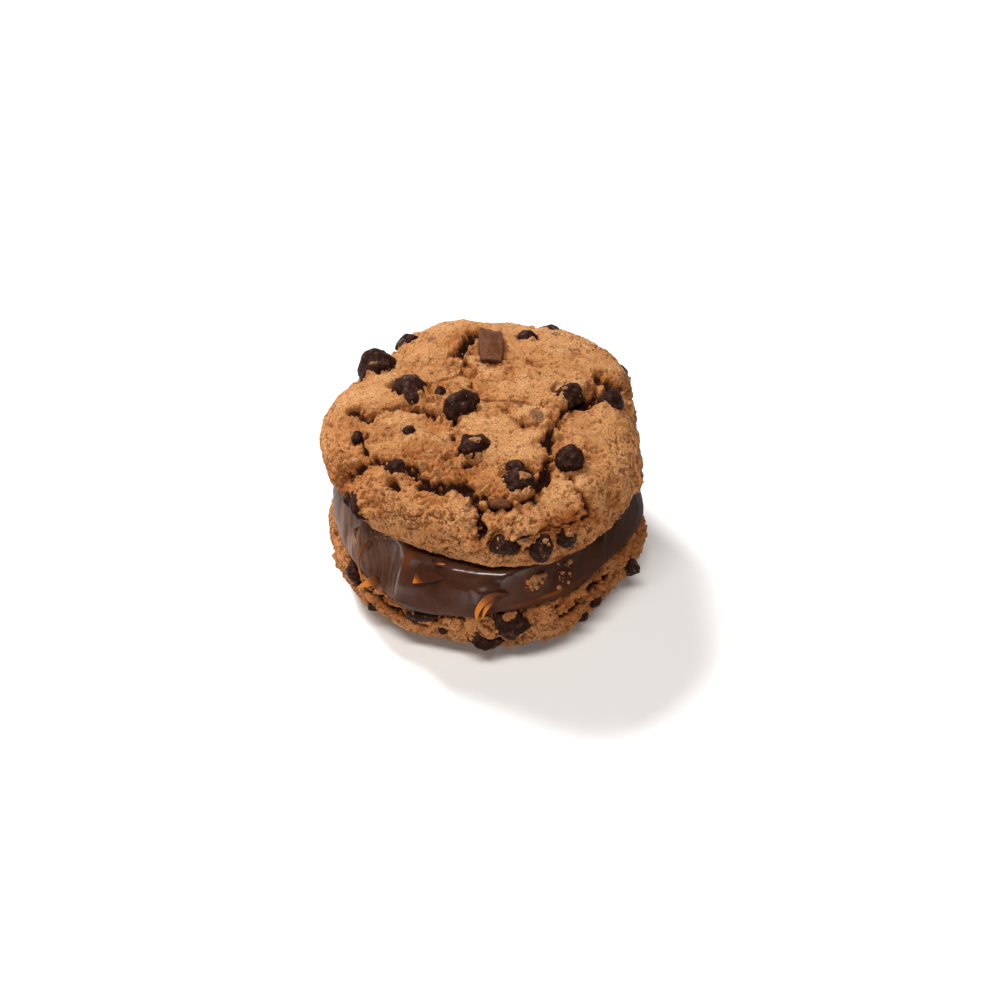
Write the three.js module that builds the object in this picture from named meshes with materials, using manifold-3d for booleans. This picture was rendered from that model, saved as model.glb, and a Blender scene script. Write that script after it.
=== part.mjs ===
// A sandwich of two thick chocolate chip cookies with a layer of milk caramel between them.
// Both cookies have the flat side inward and the cracked dome outward; the lower one rests on a pressed spot.
// Origin on the table under the middle of the sandwich, +Z up, front at -Y, millimetres.
import * as THREE from "three";
import { mergeVertices } from "three/addons/utils/BufferGeometryUtils.js";
import Module from "manifold-3d";

const wasm = await Module();
wasm.setup();

// Driving sizes
const COOKIE_THICK = 18;
const CARAMEL_THICK = 11;
const RADIUS = 36; // nominal radius, from which a reach along the surface is counted
const WAIST = 0.38 * COOKIE_THICK; // height of the widest line above the flat side
const HEEL = 0.13; // share of the radius lost between the widest line and the flat side
const FACE_POWER = 3.2; // how level the dome stays before it rolls off
const SIDE_POWER = 2.2; // how round the roll-off is
const GAP = 0.3; // clearance between pieces that touch
const REST_DEPTH = 0.6; // how far the lower dome is pressed flat against the table
const REST_REACH = 9; // half width of that flat spot
const CENTRE = [-0.65, -0.24]; // middle of the sandwich's footprint before it is moved over the origin

const DOUGH = { color: 0xb5804f, roughness: 0.95, metalness: 0 };
const CHOCOLATE = { color: 0x2c1a15, roughness: 0.6, metalness: 0 };
const MILK_CHOCOLATE = { color: 0x6b4530, roughness: 0.55, metalness: 0 };
const CARAMEL = { color: 0x4a2c22, roughness: 0.35, metalness: 0 };

const radians = THREE.MathUtils.degToRad;
const clamp = THREE.MathUtils.clamp;
const smoothstep = THREE.MathUtils.smoothstep;

// Smooth noise between -1 and 1, with lumps about one cell across
function latticeValue(i, j, k) {
  const wave = Math.sin(i * 127.1 + j * 311.7 + k * 74.7) * 43758.5453;
  return 2 * (wave - Math.floor(wave)) - 1;
}

function noise(point, cell) {
  const at = [point.x / cell, point.y / cell, point.z / cell];
  const low = at.map(Math.floor);
  const blend = at.map((value, axis) => smoothstep(value - low[axis], 0, 1));
  let sum = 0;
  for (let corner = 0; corner < 8; corner++) {
    const step = [corner & 1, (corner >> 1) & 1, corner >> 2];
    const weight = step.reduce((w, s, axis) => w * (s ? blend[axis] : 1 - blend[axis]), 1);
    sum += weight * latticeValue(low[0] + step[0], low[1] + step[1], low[2] + step[2]);
  }
  return sum;
}

// Half section of a cookie, dome up, from the crown over the rim and heel to the middle of the flat side
const SECTION = [];
const ARC_STEPS = 300;
for (let i = 0; i <= ARC_STEPS; i++) {
  const u = (Math.PI / 2) * (1 - i / ARC_STEPS);
  const share = Math.cos(u) ** (2 / FACE_POWER);
  SECTION.push([share, WAIST + (COOKIE_THICK - WAIST) * Math.sin(u) ** (2 / SIDE_POWER)]);
}
for (let i = 1; i <= ARC_STEPS; i++) {
  const a = (Math.PI / 2) * (1 - i / ARC_STEPS);
  SECTION.push([1 - HEEL * (1 - Math.sin(a)), WAIST * (1 - Math.cos(a))]);
}
SECTION.push([0, 0]);
const REACH = [0];
for (let i = 1; i < SECTION.length; i++) {
  const [share, height] = SECTION[i];
  const [lastShare, lastHeight] = SECTION[i - 1];
  REACH.push(REACH[i - 1] + Math.hypot((share - lastShare) * RADIUS, height - lastHeight));
}
const HEEL_REACH = REACH[2 * ARC_STEPS];
const FULL_REACH = REACH[REACH.length - 1];

function sectionAt(reach) {
  let i = 1;
  while (i < REACH.length - 1 && REACH[i] < reach) i++;
  const t = clamp((reach - REACH[i - 1]) / (REACH[i] - REACH[i - 1]), 0, 1);
  const [share, height] = SECTION[i];
  const [lastShare, lastHeight] = SECTION[i - 1];
  const run = (share - lastShare) * RADIUS;
  const rise = height - lastHeight;
  const length = Math.hypot(run, rise);
  return {
    share: lastShare + t * (share - lastShare),
    height: lastHeight + t * rise,
    outward: -rise / length,
    upward: run / length,
  };
}

// The uneven outline: a radius, a shift of its middle, and lobes as [count, depth, direction]
function outlineRadius(cookie, angle) {
  let radius = cookie.radius + cookie.shift[0] * Math.cos(angle) + cookie.shift[1] * Math.sin(angle);
  for (const [count, depth, direction] of cookie.lobes)
    radius += depth * Math.cos(count * (angle - radians(direction)));
  return radius;
}

// Point and outward direction on the plain cookie, at an angle in radians and a reach in millimetres
function plainSurface(cookie, angle, reach) {
  const { share, height, outward, upward } = sectionAt(reach);
  const radius = share * outlineRadius(cookie, angle);
  const flip = cookie.domeDown ? -1 : 1;
  const z = cookie.flatHeight + flip * height;
  return {
    point: new THREE.Vector3(radius * Math.cos(angle), radius * Math.sin(angle), z),
    normal: new THREE.Vector3(outward * Math.cos(angle), outward * Math.sin(angle), flip * upward),
  };
}

// Cracks as paths of [angle, reach]; lift raises the side to the left of the path
const CRACK_WANDER = 0.9;
const LIP_REACH = 5;

function crackLines(cookie) {
  return cookie.cracks.map(({ path, ...sizes }) => ({
    ...sizes,
    points: path.map(([angle, reach]) => plainSurface(cookie, radians(angle), reach).point),
  }));
}

// Distance from a point to a crack, and the side that it is on: 1 to the left, -1 to the right
function besideCrack(cookie, points, point, normal) {
  let distance = Infinity;
  let side = 0;
  for (let i = 1; i < points.length; i++) {
    const along = points[i].clone().sub(points[i - 1]);
    const from = point.clone().sub(points[i - 1]);
    const t = clamp(from.dot(along) / along.lengthSq(), 0, 1);
    const offset = from.addScaledVector(along, -t);
    const away = offset.length();
    if (away < distance) {
      distance = away;
      side = along.normalize().cross(offset.normalize()).dot(normal) * (cookie.domeDown ? -1 : 1);
    }
  }
  return { distance, side };
}

function crackDepth(cookie, point, normal) {
  let groove = 0;
  let lifted = 0;
  let shares = Number.EPSILON;
  const wander = CRACK_WANDER * noise(point, 2.6);
  for (const { points, wide, deep, lift } of cookie.lines) {
    const { distance: straight, side } = besideCrack(cookie, points, point, normal);
    const distance = Math.max(0, straight + wander);
    groove = Math.max(groove, deep * Math.exp(-((distance / wide) ** 2)));
    const near = Math.exp(-((distance / LIP_REACH) ** 2));
    lifted += lift * side * near * Math.abs(lift) * near;
    shares += Math.abs(lift) * near;
  }
  return lifted / shares - groove;
}

// Broad lumps, with mounds and hollows as [angle, reach, across, height]
function groundHeight(cookie, point) {
  let height = 0.6 * noise(point, 7);
  for (const { middle, across, rise } of cookie.mounds)
    height += rise * Math.exp(-point.distanceToSquared(middle) / (across / 2) ** 2);
  return height;
}

// Height of the crumbly surface over the plain one; the heel and the flat side stay plain
function relief(cookie, point, normal, reach) {
  const crumble = 0.32 * noise(point, 3.4);
  const baked = 1 - smoothstep(reach, HEEL_REACH - 5, HEEL_REACH);
  const pressed = cookie.domeDown ? 1 - smoothstep(reach, REST_REACH, REST_REACH + 5) : 0;
  const rough = baked * (crumble + groundHeight(cookie, point) + crackDepth(cookie, point, normal));
  return rough + pressed * (REST_DEPTH - rough);
}

function cookieSurface(cookie, angle, reach) {
  const { point, normal } = plainSurface(cookie, angle, reach);
  point.addScaledVector(normal, relief(cookie, point, normal, reach));
  if (cookie.domeDown) point.z = Math.max(point.z, 0);
  return point;
}

// A closed surface laid as rings round the axis, each as { at, count }, between two poles
function ringedGeometry(rings, firstPole, lastPole, pointAt) {
  const points = [firstPole];
  const starts = [];
  rings.forEach(({ at, count }, row) => {
    starts.push(points.length);
    for (let i = 0; i < count; i++)
      points.push(pointAt((2 * Math.PI * (i + (row % 2) / 2)) / count, at));
  });
  points.push(lastPole);
  const index = [];
  const first = rings[0].count;
  for (let i = 0; i < first; i++) index.push(0, 1 + i, 1 + ((i + 1) % first));
  for (let row = 1; row < rings.length; row++) {
    const inner = rings[row - 1].count;
    const outer = rings[row].count;
    const innerAt = (i) => starts[row - 1] + (i % inner);
    const outerAt = (j) => starts[row] + (j % outer);
    let i = 0;
    let j = 0;
    while (i < inner || j < outer) {
      if (j >= outer || (i < inner && (i + 1) / inner <= (j + 1) / outer)) {
        index.push(innerAt(i), outerAt(j), innerAt(i + 1));
        i++;
      } else {
        index.push(innerAt(i), outerAt(j), outerAt(j + 1));
        j++;
      }
    }
  }
  const last = rings[rings.length - 1].count;
  const lastStart = starts[starts.length - 1];
  for (let i = 0; i < last; i++) index.push(lastStart + i, points.length - 1, lastStart + ((i + 1) % last));
  const geometry = new THREE.BufferGeometry().setFromPoints(points);
  geometry.setIndex(index);
  return geometry;
}

// Rings at even steps from one reach to another
function evenRings(from, to, step, radiusAt) {
  const rows = Math.max(1, Math.round((to - from) / step));
  return Array.from({ length: rows }, (_, row) => {
    const at = from + ((row + 1) / rows) * (to - from);
    return { at, count: Math.max(6, Math.round((2 * Math.PI * radiusAt(at)) / step)) };
  });
}

function reversed(geometry) {
  const index = geometry.index.array;
  for (let i = 0; i < index.length; i += 3) [index[i + 1], index[i + 2]] = [index[i + 2], index[i + 1]];
  return geometry;
}

function solidFrom(geometry) {
  const bare = geometry.clone();
  bare.deleteAttribute("normal");
  bare.deleteAttribute("uv");
  const merged = mergeVertices(bare, 1e-4);
  return new wasm.Manifold(
    new wasm.Mesh({
      numProp: 3,
      vertProperties: new Float32Array(merged.attributes.position.array),
      triVerts: new Uint32Array(merged.index.array),
    }),
  );
}

// The largest body of a cut solid: crumbs that a cut sets loose are dropped
function mainBody(solid) {
  return solid.decompose().reduce((best, body) => (body.volume() > best.volume() ? body : best));
}

function meshFrom(solid, name, look) {
  const cut = solid.getMesh();
  const geometry = new THREE.BufferGeometry();
  geometry.setAttribute("position", new THREE.BufferAttribute(new Float32Array(cut.vertProperties), 3));
  geometry.setIndex(new THREE.BufferAttribute(new Uint32Array(cut.triVerts), 1));
  geometry.computeVertexNormals();
  const mesh = new THREE.Mesh(geometry, new THREE.MeshStandardMaterial(look));
  mesh.name = name;
  return mesh;
}

// A chip is a lumpy dome with a blunt tip and a flatter base; square shares run from round to block
const BASE_FLATNESS = 0.8;
const TIP_RISE = 0.22;
const CHIP_LUMPS = 0.11;

function chipGeometry(chip, seed, grow, detail) {
  const { middle, normal, wide, long, high, turn = 0, lean = 0, square = 0, tip = TIP_RISE } = chip;
  const geometry = new THREE.IcosahedronGeometry(1, detail);
  const half = new THREE.Vector3(wide, long, high).multiplyScalar(0.5).addScalar(grow);
  const place = new THREE.Matrix4().makeTranslation(middle);
  const up = normal.clone();
  up.y -= Math.sin(radians(lean));
  const upright = new THREE.Quaternion().setFromUnitVectors(new THREE.Vector3(0, 0, 1), up.normalize());
  place.multiply(new THREE.Matrix4().makeRotationFromQuaternion(upright));
  place.multiply(new THREE.Matrix4().makeRotationZ(radians(turn)));
  const positions = geometry.attributes.position;
  const direction = new THREE.Vector3();
  for (let i = 0; i < positions.count; i++) {
    direction.fromBufferAttribute(positions, i).normalize();
    const widest = Math.max(Math.abs(direction.x), Math.abs(direction.y), Math.abs(direction.z));
    const lump = 1 + CHIP_LUMPS * noise(direction.clone().addScalar(seed * 5.3), 0.9);
    const point = direction.clone().multiplyScalar(lump / widest ** square);
    point.z *= point.z < 0 ? BASE_FLATNESS : 1 + tip * (1 - square) * (1 - Math.hypot(point.x, point.y));
    point.multiply(half).applyMatrix4(place);
    positions.setXYZ(i, point.x, point.y, point.z);
  }
  return geometry;
}

// A chip's middle stands off the broad ground by its lift
function placedChip(cookie, chip) {
  const { point, normal } = plainSurface(cookie, radians(chip.angle), chip.reach);
  const height = chip.lift + groundHeight(cookie, point);
  return { ...chip, middle: point.addScaledVector(normal, height), normal };
}

// A cookie with its small chips fused on and a pocket cut for every large one
function cookieMeshes(cookie, step) {
  cookie.lines = crackLines(cookie);
  cookie.mounds = cookie.ground.map(([angle, reach, across, rise]) => ({
    middle: plainSurface(cookie, radians(angle), reach).point,
    across,
    rise,
  }));
  const radiusAt = (at) => sectionAt(at).share * RADIUS;
  const rings = [
    ...evenRings(0, HEEL_REACH, step, radiusAt),
    ...evenRings(HEEL_REACH, FULL_REACH - 4, 7, radiusAt),
  ];
  const crown = cookieSurface(cookie, 0, 0);
  const base = cookieSurface(cookie, 0, FULL_REACH);
  const shell = ringedGeometry(rings, crown, base, (angle, at) => cookieSurface(cookie, angle, at));
  let solid = solidFrom(cookie.domeDown ? reversed(shell) : shell);
  cookie.bits.forEach((bit, i) => {
    solid = solid.add(solidFrom(chipGeometry(placedChip(cookie, bit), i + 40, 0, 0)));
  });
  const chips = cookie.chips.map((chip, i) => {
    const placed = placedChip(cookie, chip);
    solid = solid.subtract(solidFrom(chipGeometry(placed, i, GAP, 1)));
    const look = chip.square ? MILK_CHOCOLATE : CHOCOLATE;
    return meshFrom(solidFrom(chipGeometry(placed, i, 0, 1)), `${cookie.name}_chip_${i + 1}`, look);
  });
  return [meshFrom(mainBody(solid), `${cookie.name}_cookie`, DOUGH), ...chips];
}

const UPPER = {
  name: "upper",
  radius: 35.9,
  shift: [0.2, 0.3],
  lobes: [[2, 0.5, 86], [3, 1.3, -55], [4, 0.6, 26], [5, 0.7, -33], [6, 0.6, -15]],
  domeDown: false,
  flatHeight: COOKIE_THICK + CARAMEL_THICK,
  cracks: [
    // ragged valley between the front rim and the raised middle
    {
      path: [[204, 39], [208, 34], [211, 30], [223, 27], [236, 27], [249, 28], [257, 26]],
      wide: 1.9, deep: 2.1, lift: 0.5,
    },
    {
      path: [[257, 26], [266, 27.5], [272, 29], [282, 29.5], [291, 28], [300, 24]],
      wide: 1.6, deep: 1.7, lift: 0.7,
    },
    // cliff at the right of the raised middle, running out into a notch in the right rim
    {
      path: [[300, 24], [307, 21], [320, 17], [336, 16], [350, 17], [0, 19.5]],
      wide: 2.0, deep: 2.4, lift: 0.9,
    },
    { path: [[0, 19.5], [6, 23], [14, 27], [20, 33], [21, 38]], wide: 2.4, deep: 2.4, lift: 0.3 },
    // hollow between the two middle chips
    { path: [[198, 8], [231, 12], [246, 18]], wide: 1.6, deep: 1.6, lift: 0.2 },
    // fine cracks across the middle plate
    { path: [[150, 2], [6, 3], [3, 8], [357, 12], [2, 16], [10, 18]], wide: 1.0, deep: 0.8, lift: -0.3 },
    { path: [[328, 3], [316, 8], [318, 11], [330, 13]], wide: 0.9, deep: 0.6, lift: 0.2 },
    { path: [[75, 15], [66, 16], [54, 16], [46, 16]], wide: 0.9, deep: 1.0, lift: -0.2 },
    // cave beside the milk chocolate chunk
    { path: [[110, 18.5], [102, 22.5], [95, 26]], wide: 1.9, deep: 3.0, lift: 0 },
    // crumbly bands over the left and the back
    { path: [[108, 17], [113, 10], [150, 3]], wide: 1.6, deep: 0.9, lift: 0.2 },
    { path: [[154, 15], [124, 12], [108, 11]], wide: 1.4, deep: 0.7, lift: 0 },
    {
      path: [[180, 30], [188, 26], [182, 22], [183, 18], [190, 14], [200, 11]],
      wide: 1.3, deep: 1.1, lift: 0.3,
    },
    { path: [[197, 28.5], [204, 30], [210, 30]], wide: 1.4, deep: 1.5, lift: 0.2 },
    // splits through the front rim
    { path: [[266, 29], [267, 32], [268, 35], [267, 38]], wide: 1.0, deep: 1.4, lift: 0 },
    { path: [[310, 27], [308, 30], [310, 33], [308, 37]], wide: 1.3, deep: 1.7, lift: 0.2 },
    // ledge over the front rim's chips
    {
      path: [[264, 41.5], [270, 38.8], [276, 37.3], [283, 37], [290, 36], [297, 36], [303, 36.6]],
      wide: 1.0, deep: 0.6, lift: 0.6,
    },
  ],
  ground: [
    [193, 21, 16, 0.7],
    [300, 12, 18, 0.6],
    [60, 22, 20, 0.4],
    [335, 31, 16, -0.6],
    [205, 37, 7, -2.0],
    [232, 14, 6, -1.2],
    [13, 29, 8, -1.2],
    [27, 33, 9, 0.9],
    [134, 30, 10, -0.7],
    [168, 33, 12, 0.5],
    [244, 31, 12, 0.3],
  ],
  chips: [
    { angle: 147, reach: 32, lift: -0.1, wide: 9.2, long: 8.6, high: 9.2, tip: 0 },
    { angle: 123, reach: 36.2, lift: -0.6, wide: 5.4, long: 8.4, high: 3.6, turn: 33 },
    { angle: 164, reach: 18.2, lift: -0.9, wide: 7.8, long: 9, high: 6.8, turn: 20, tip: 0.1 },
    { angle: 186, reach: 5.8, lift: -0.8, wide: 10, long: 7.4, high: 6.6, turn: 35 },
    { angle: 222, reach: 28, lift: -1.2, wide: 5, long: 5, high: 4.6 },
    { angle: 258, reach: 15.2, lift: -1, wide: 6.8, long: 7.4, high: 6.2, lean: 15 },
    { angle: 286, reach: 24.2, lift: -0.9, wide: 8.6, long: 6.8, high: 5.2, lean: 20 },
    { angle: 315.5, reach: 24.4, lift: 0.8, wide: 6.2, long: 6.6, high: 4.4, lean: 60, tip: 0 },
    { angle: 12, reach: 19.8, lift: -1, wide: 7, long: 6.4, high: 5.4 },
    { angle: 11, reach: 30.6, lift: -0.4, wide: 6, long: 6.2, high: 5.4 },
    { angle: 88, reach: 18.4, lift: -0.9, wide: 5.6, long: 11.6, high: 6.4, lean: 15, square: 0.7 },
    { angle: 70, reach: 26, lift: -1, wide: 4.6, long: 4.8, high: 4.2 },
    { angle: 276, reach: 38.8, lift: -1.1, wide: 7.2, long: 5, high: 4.2 },
    { angle: 288.4, reach: 40.4, lift: -1, wide: 4.9, long: 6.6, high: 4.6 },
    { angle: 297.2, reach: 39.6, lift: -1.1, wide: 4.8, long: 5, high: 4, turn: 15 },
    { angle: 218, reach: 40.8, lift: -1.1, wide: 3.8, long: 7, high: 3.8, turn: 8 },
    { angle: 36, reach: 40, lift: -1.3, wide: 6.4, long: 5.6, high: 4.6 },
    { angle: 66, reach: 38, lift: -1, wide: 6.8, long: 6.2, high: 5 },
    { angle: 101, reach: 41, lift: -1.2, wide: 5.6, long: 5, high: 4.4 },
    { angle: 340, reach: 42, lift: -1.2, wide: 5.2, long: 4.6, high: 4 },
  ],
  bits: [
    { angle: 162, reach: 11.2, lift: -0.4, wide: 2.8, long: 3.4, high: 2.4 },
    { angle: 206, reach: 19.2, lift: -0.2, wide: 2.9, long: 2.6, high: 1.8 },
    { angle: 195, reach: 29.6, lift: -0.5, wide: 2.6, long: 3.6, high: 2.4 },
    { angle: 287, reach: 19.9, lift: -0.1, wide: 4, long: 3.2, high: 1.8 },
    { angle: 212.2, reach: 41.2, lift: -0.3, wide: 2, long: 4.6, high: 2, turn: 8 },
    // flat sliver that fell into the valley
    { angle: 275.2, reach: 28.9, lift: -0.9, wide: 5, long: 2, high: 2.2, square: 0.6 },
  ],
};

const LOWER = {
  name: "lower",
  radius: 36.5,
  shift: [-0.9, 0.7],
  lobes: [[2, 1.4, -80], [3, 0.5, -12], [4, 0.4, 32], [5, 0.9, -13], [6, 0.9, -4]],
  domeDown: true,
  flatHeight: COOKIE_THICK,
  cracks: [
    // short cracks round the rim
    { path: [[220, 43], [229, 42.5], [238, 41]], wide: 1.4, deep: 1.1, lift: 0.2 },
    { path: [[298, 42], [308, 42.5], [316, 44], [322, 43]], wide: 1.7, deep: 1.4, lift: 0.2 },
    { path: [[190, 36], [196, 41], [193, 46]], wide: 1.3, deep: 1.1, lift: 0.2 },
    { path: [[346, 38], [343, 42], [347, 46]], wide: 1.4, deep: 1.3, lift: 0 },
    { path: [[80, 37], [76, 41], [79, 45]], wide: 1.5, deep: 1.4, lift: 0.2 },
    // the dome below is cracked in plates like the upper one
    {
      path: [[0, 22], [40, 26], [85, 23], [130, 26], [175, 23], [220, 25], [270, 21]],
      wide: 1.8, deep: 1.8, lift: 0,
    },
    { path: [[20, 24], [48, 13], [84, 15], [110, 22]], wide: 1.4, deep: 1.2, lift: 0 },
    { path: [[222, 15], [275, 15], [290, 27], [288, 35]], wide: 1.5, deep: 1.3, lift: 0 },
    { path: [[130, 26], [135, 32], [131, 38]], wide: 1.5, deep: 1.4, lift: 0 },
  ],
  ground: [
    [230, 30, 14, -0.5],
    [60, 31, 14, -0.6],
    [330, 30, 12, -0.5],
    [308, 39, 8, -0.8],
    [265, 41, 12, 0.5],
  ],
  chips: [
    { angle: 246, reach: 43.1, lift: -1.1, wide: 8.8, long: 4.2, high: 4.2 },
    { angle: 278, reach: 43.6, lift: -1.1, wide: 9.4, long: 7.4, high: 5.2 },
    { angle: 269.5, reach: 38.3, lift: -0.8, wide: 8, long: 4.2, high: 4.4 },
    { angle: 338, reach: 38.4, lift: -0.3, wide: 5, long: 4.2, high: 4.2 },
    { angle: 214, reach: 43.8, lift: -0.9, wide: 3.8, long: 5.8, high: 3.8 },
    { angle: 24, reach: 40, lift: -1.2, wide: 6, long: 5.4, high: 4.6 },
    { angle: 92, reach: 40, lift: -1.2, wide: 6.8, long: 5.8, high: 4.8 },
    { angle: 152, reach: 41, lift: -1.1, wide: 5.8, long: 5.2, high: 4.4 },
    { angle: 30, reach: 29, lift: -1.6, wide: 6.6, long: 6.2, high: 5.2 },
    { angle: 108, reach: 26, lift: -1.9, wide: 6.2, long: 6, high: 5 },
    { angle: 165, reach: 30, lift: -1.4, wide: 6.8, long: 6, high: 5 },
    { angle: 238, reach: 26, lift: -1.9, wide: 6.4, long: 6.2, high: 5.2 },
    { angle: 318, reach: 28, lift: -1.7, wide: 6.4, long: 6, high: 5 },
  ],
  bits: [
    { angle: 307, reach: 37.4, lift: -0.4, wide: 3.4, long: 3, high: 2.4 },
    { angle: 314, reach: 39.4, lift: -0.4, wide: 2.2, long: 3.4, high: 2.2 },
    { angle: 225, reach: 38.8, lift: -0.4, wide: 2.4, long: 2.8, high: 2.2 },
    { angle: 254, reach: 40.2, lift: -0.3, wide: 2.2, long: 2.2, high: 2 },
  ],
};

// The caramel: flat against both cookies, with a pulled side that sags over the lower cookie's rim
const TOP_EDGE = 0.885; // radius of its upper edge as a share of the upper cookie's
const HIDDEN_CLEAR = 0.5; // clearance behind the lip, where the cookie is rough
const FULLEST = 0.71; // fall at which the side swells most

// Value read between rows of [degrees, value] round the circle, the first at 0
function roundTable(rows, angle) {
  const degrees = THREE.MathUtils.euclideanModulo(THREE.MathUtils.radToDeg(angle), 360);
  const whole = [...rows, [rows[0][0] + 360, rows[0][1]]];
  const next = whole.findIndex(([at]) => at > degrees);
  const [before, start] = whole[next - 1];
  const [after, end] = whole[next];
  return start + (end - start) * smoothstep(degrees, before, after);
}

// How far the lip sags below the lower cookie's flat side, and how far the side swells
const SAG = [
  [0, 1.2], [70, 0.8], [140, 1.2], [185, 0.8], [222, 1.3],
  [246, 2.9], [262, 2.3], [276, 0.9], [290, 0.5], [318, 0.9],
];
const SWELL = [
  [0, 1.5], [70, 2.4], [130, 1.8], [190, 1.2], [222, 1.5],
  [250, 2.4], [270, 2.0], [292, 0.8], [320, 0.8],
];

// How far the top steps out below the upper cookie before the side falls away
const SHOULDER = [
  [0, 0.6], [90, 1.2], [190, 0.6], [215, 0.3], [228, 0.2],
  [241, 2.6], [256, 3.0], [274, 2.8], [284, 1.0], [300, 0.3],
];
const SHOULDER_FALL = 0.04; // fall within which it steps out

// Pulled folds: ridges and furrows across the side, at an angle and a share of the fall.
// Each spreads by so many degrees before and after, and by a share of the fall above and below.
const FOLDS = [
  // scoop of the knife, the ridge that it pushed up, and ripples left of it
  { angle: 230, before: 9, after: 4, fall: 0.55, above: 0.5, below: 0.6, rise: -2.6 },
  { angle: 238.5, before: 2, after: 7, fall: 0.5, above: 0.6, below: 0.7, rise: 1.7 },
  { angle: 221, before: 3, after: 3, fall: 0.5, above: 0.4, below: 0.4, rise: 0.8 },
  // pillow with a sheen below the shoulder, and the crease beside it
  { angle: 268, before: 8, after: 6, fall: 0.36, above: 0.09, below: 0.25, rise: 1.1 },
  { angle: 264.5, before: 1, after: 1.4, fall: 0.42, above: 0.12, below: 0.12, rise: -0.7 },
  // slighter ripples at the left
  { angle: 214, before: 3, after: 3, fall: 0.5, above: 0.4, below: 0.4, rise: 0.9 },
  { angle: 207, before: 2, after: 3, fall: 0.5, above: 0.4, below: 0.4, rise: -0.6 },
  // right of the front the caramel lies further in, over a ledge
  { angle: 297, before: 14, after: 18, fall: 0.4, above: 0.3, below: 0.28, rise: -2 },
  { angle: 294, before: 20, after: 20, fall: 0.86, above: 0.06, below: 0.3, rise: 1 },
  { angle: 288, before: 4, after: 5, fall: 0.5, above: 0.1, below: 0.12, rise: 1 },
  { angle: 318, before: 6, after: 3, fall: 0.4, above: 0.5, below: 0.4, rise: 1.4 },
  { angle: 305, before: 2, after: 3, fall: 0.4, above: 0.3, below: 0.2, rise: 0.6 },
  // round the right, the back and the left
  { angle: 20, before: 10, after: 10, fall: 0.5, above: 0.3, below: 0.3, rise: 0.7 },
  { angle: 75, before: 12, after: 12, fall: 0.3, above: 0.2, below: 0.2, rise: 0.9 },
  { angle: 120, before: 9, after: 9, fall: 0.6, above: 0.3, below: 0.3, rise: -0.7 },
  { angle: 165, before: 7, after: 7, fall: 0.5, above: 0.4, below: 0.4, rise: 0.7 },
];

function foldRise(angle, fall) {
  let rise = 0;
  for (const fold of FOLDS) {
    const degrees = THREE.MathUtils.radToDeg(angle) - fold.angle;
    const turned = THREE.MathUtils.euclideanModulo(degrees + 180, 360) - 180;
    const sideways = turned / (turned < 0 ? fold.before : fold.after);
    const upright = (fall - fold.fall) / (fall < fold.fall ? fold.above : fold.below);
    rise += fold.rise * Math.exp(-(sideways ** 2) - upright ** 2);
  }
  return rise;
}

// Radius of a cookie's heel at a depth from its flat side
function heelRadius(cookie, angle, depth) {
  const a = Math.acos(clamp(1 - depth / WAIST, -1, 1));
  return (1 - HEEL * (1 - Math.sin(a))) * outlineRadius(cookie, angle);
}

// Side of the caramel: fall runs from 0 at the upper edge to 1 at the lip
function caramelSide(angle, fall) {
  const sag = roundTable(SAG, angle);
  const topHeight = COOKIE_THICK + CARAMEL_THICK - GAP;
  const lipHeight = COOKIE_THICK + GAP - sag;
  const topRadius = TOP_EDGE * outlineRadius(UPPER, angle);
  const lipRadius = heelRadius(LOWER, angle, sag) + HIDDEN_CLEAR;
  const fullness = (fall / FULLEST) ** 1.1 * ((1 - fall) / (1 - FULLEST)) ** 0.5;
  const shoulder = roundTable(SHOULDER, angle) * (1 - Math.exp(-fall / SHOULDER_FALL)) * (1 - fall) ** 1.4;
  const held = Math.min(1, 6 * fall, 5 * (1 - fall));
  const swell = roundTable(SWELL, angle) * fullness + shoulder + held * foldRise(angle, fall);
  const radius = topRadius + (lipRadius - topRadius) * fall + swell;
  const height = topHeight + (lipHeight - topHeight) * fall;
  return new THREE.Vector3(radius * Math.cos(angle), radius * Math.sin(angle), height);
}

// Stations of the caramel's section: the top from 0, the side from 1, under the lip from 2, the base from 3
function caramelPoint(angle, station) {
  if (station <= 1) return caramelSide(angle, 0).multiply(new THREE.Vector3(station, station, 1));
  if (station <= 2) return caramelSide(angle, station - 1);
  const ray = new THREE.Vector3(Math.cos(angle), Math.sin(angle), 0);
  if (station <= 3) {
    const depth = roundTable(SAG, angle) * (3 - station);
    const radius = heelRadius(LOWER, angle, depth) + HIDDEN_CLEAR;
    return ray.multiplyScalar(radius).setZ(COOKIE_THICK - depth + GAP);
  }
  const radius = (1 - HEEL) * outlineRadius(LOWER, angle) * (4 - station);
  return ray.multiplyScalar(radius).setZ(COOKIE_THICK + GAP);
}

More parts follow.
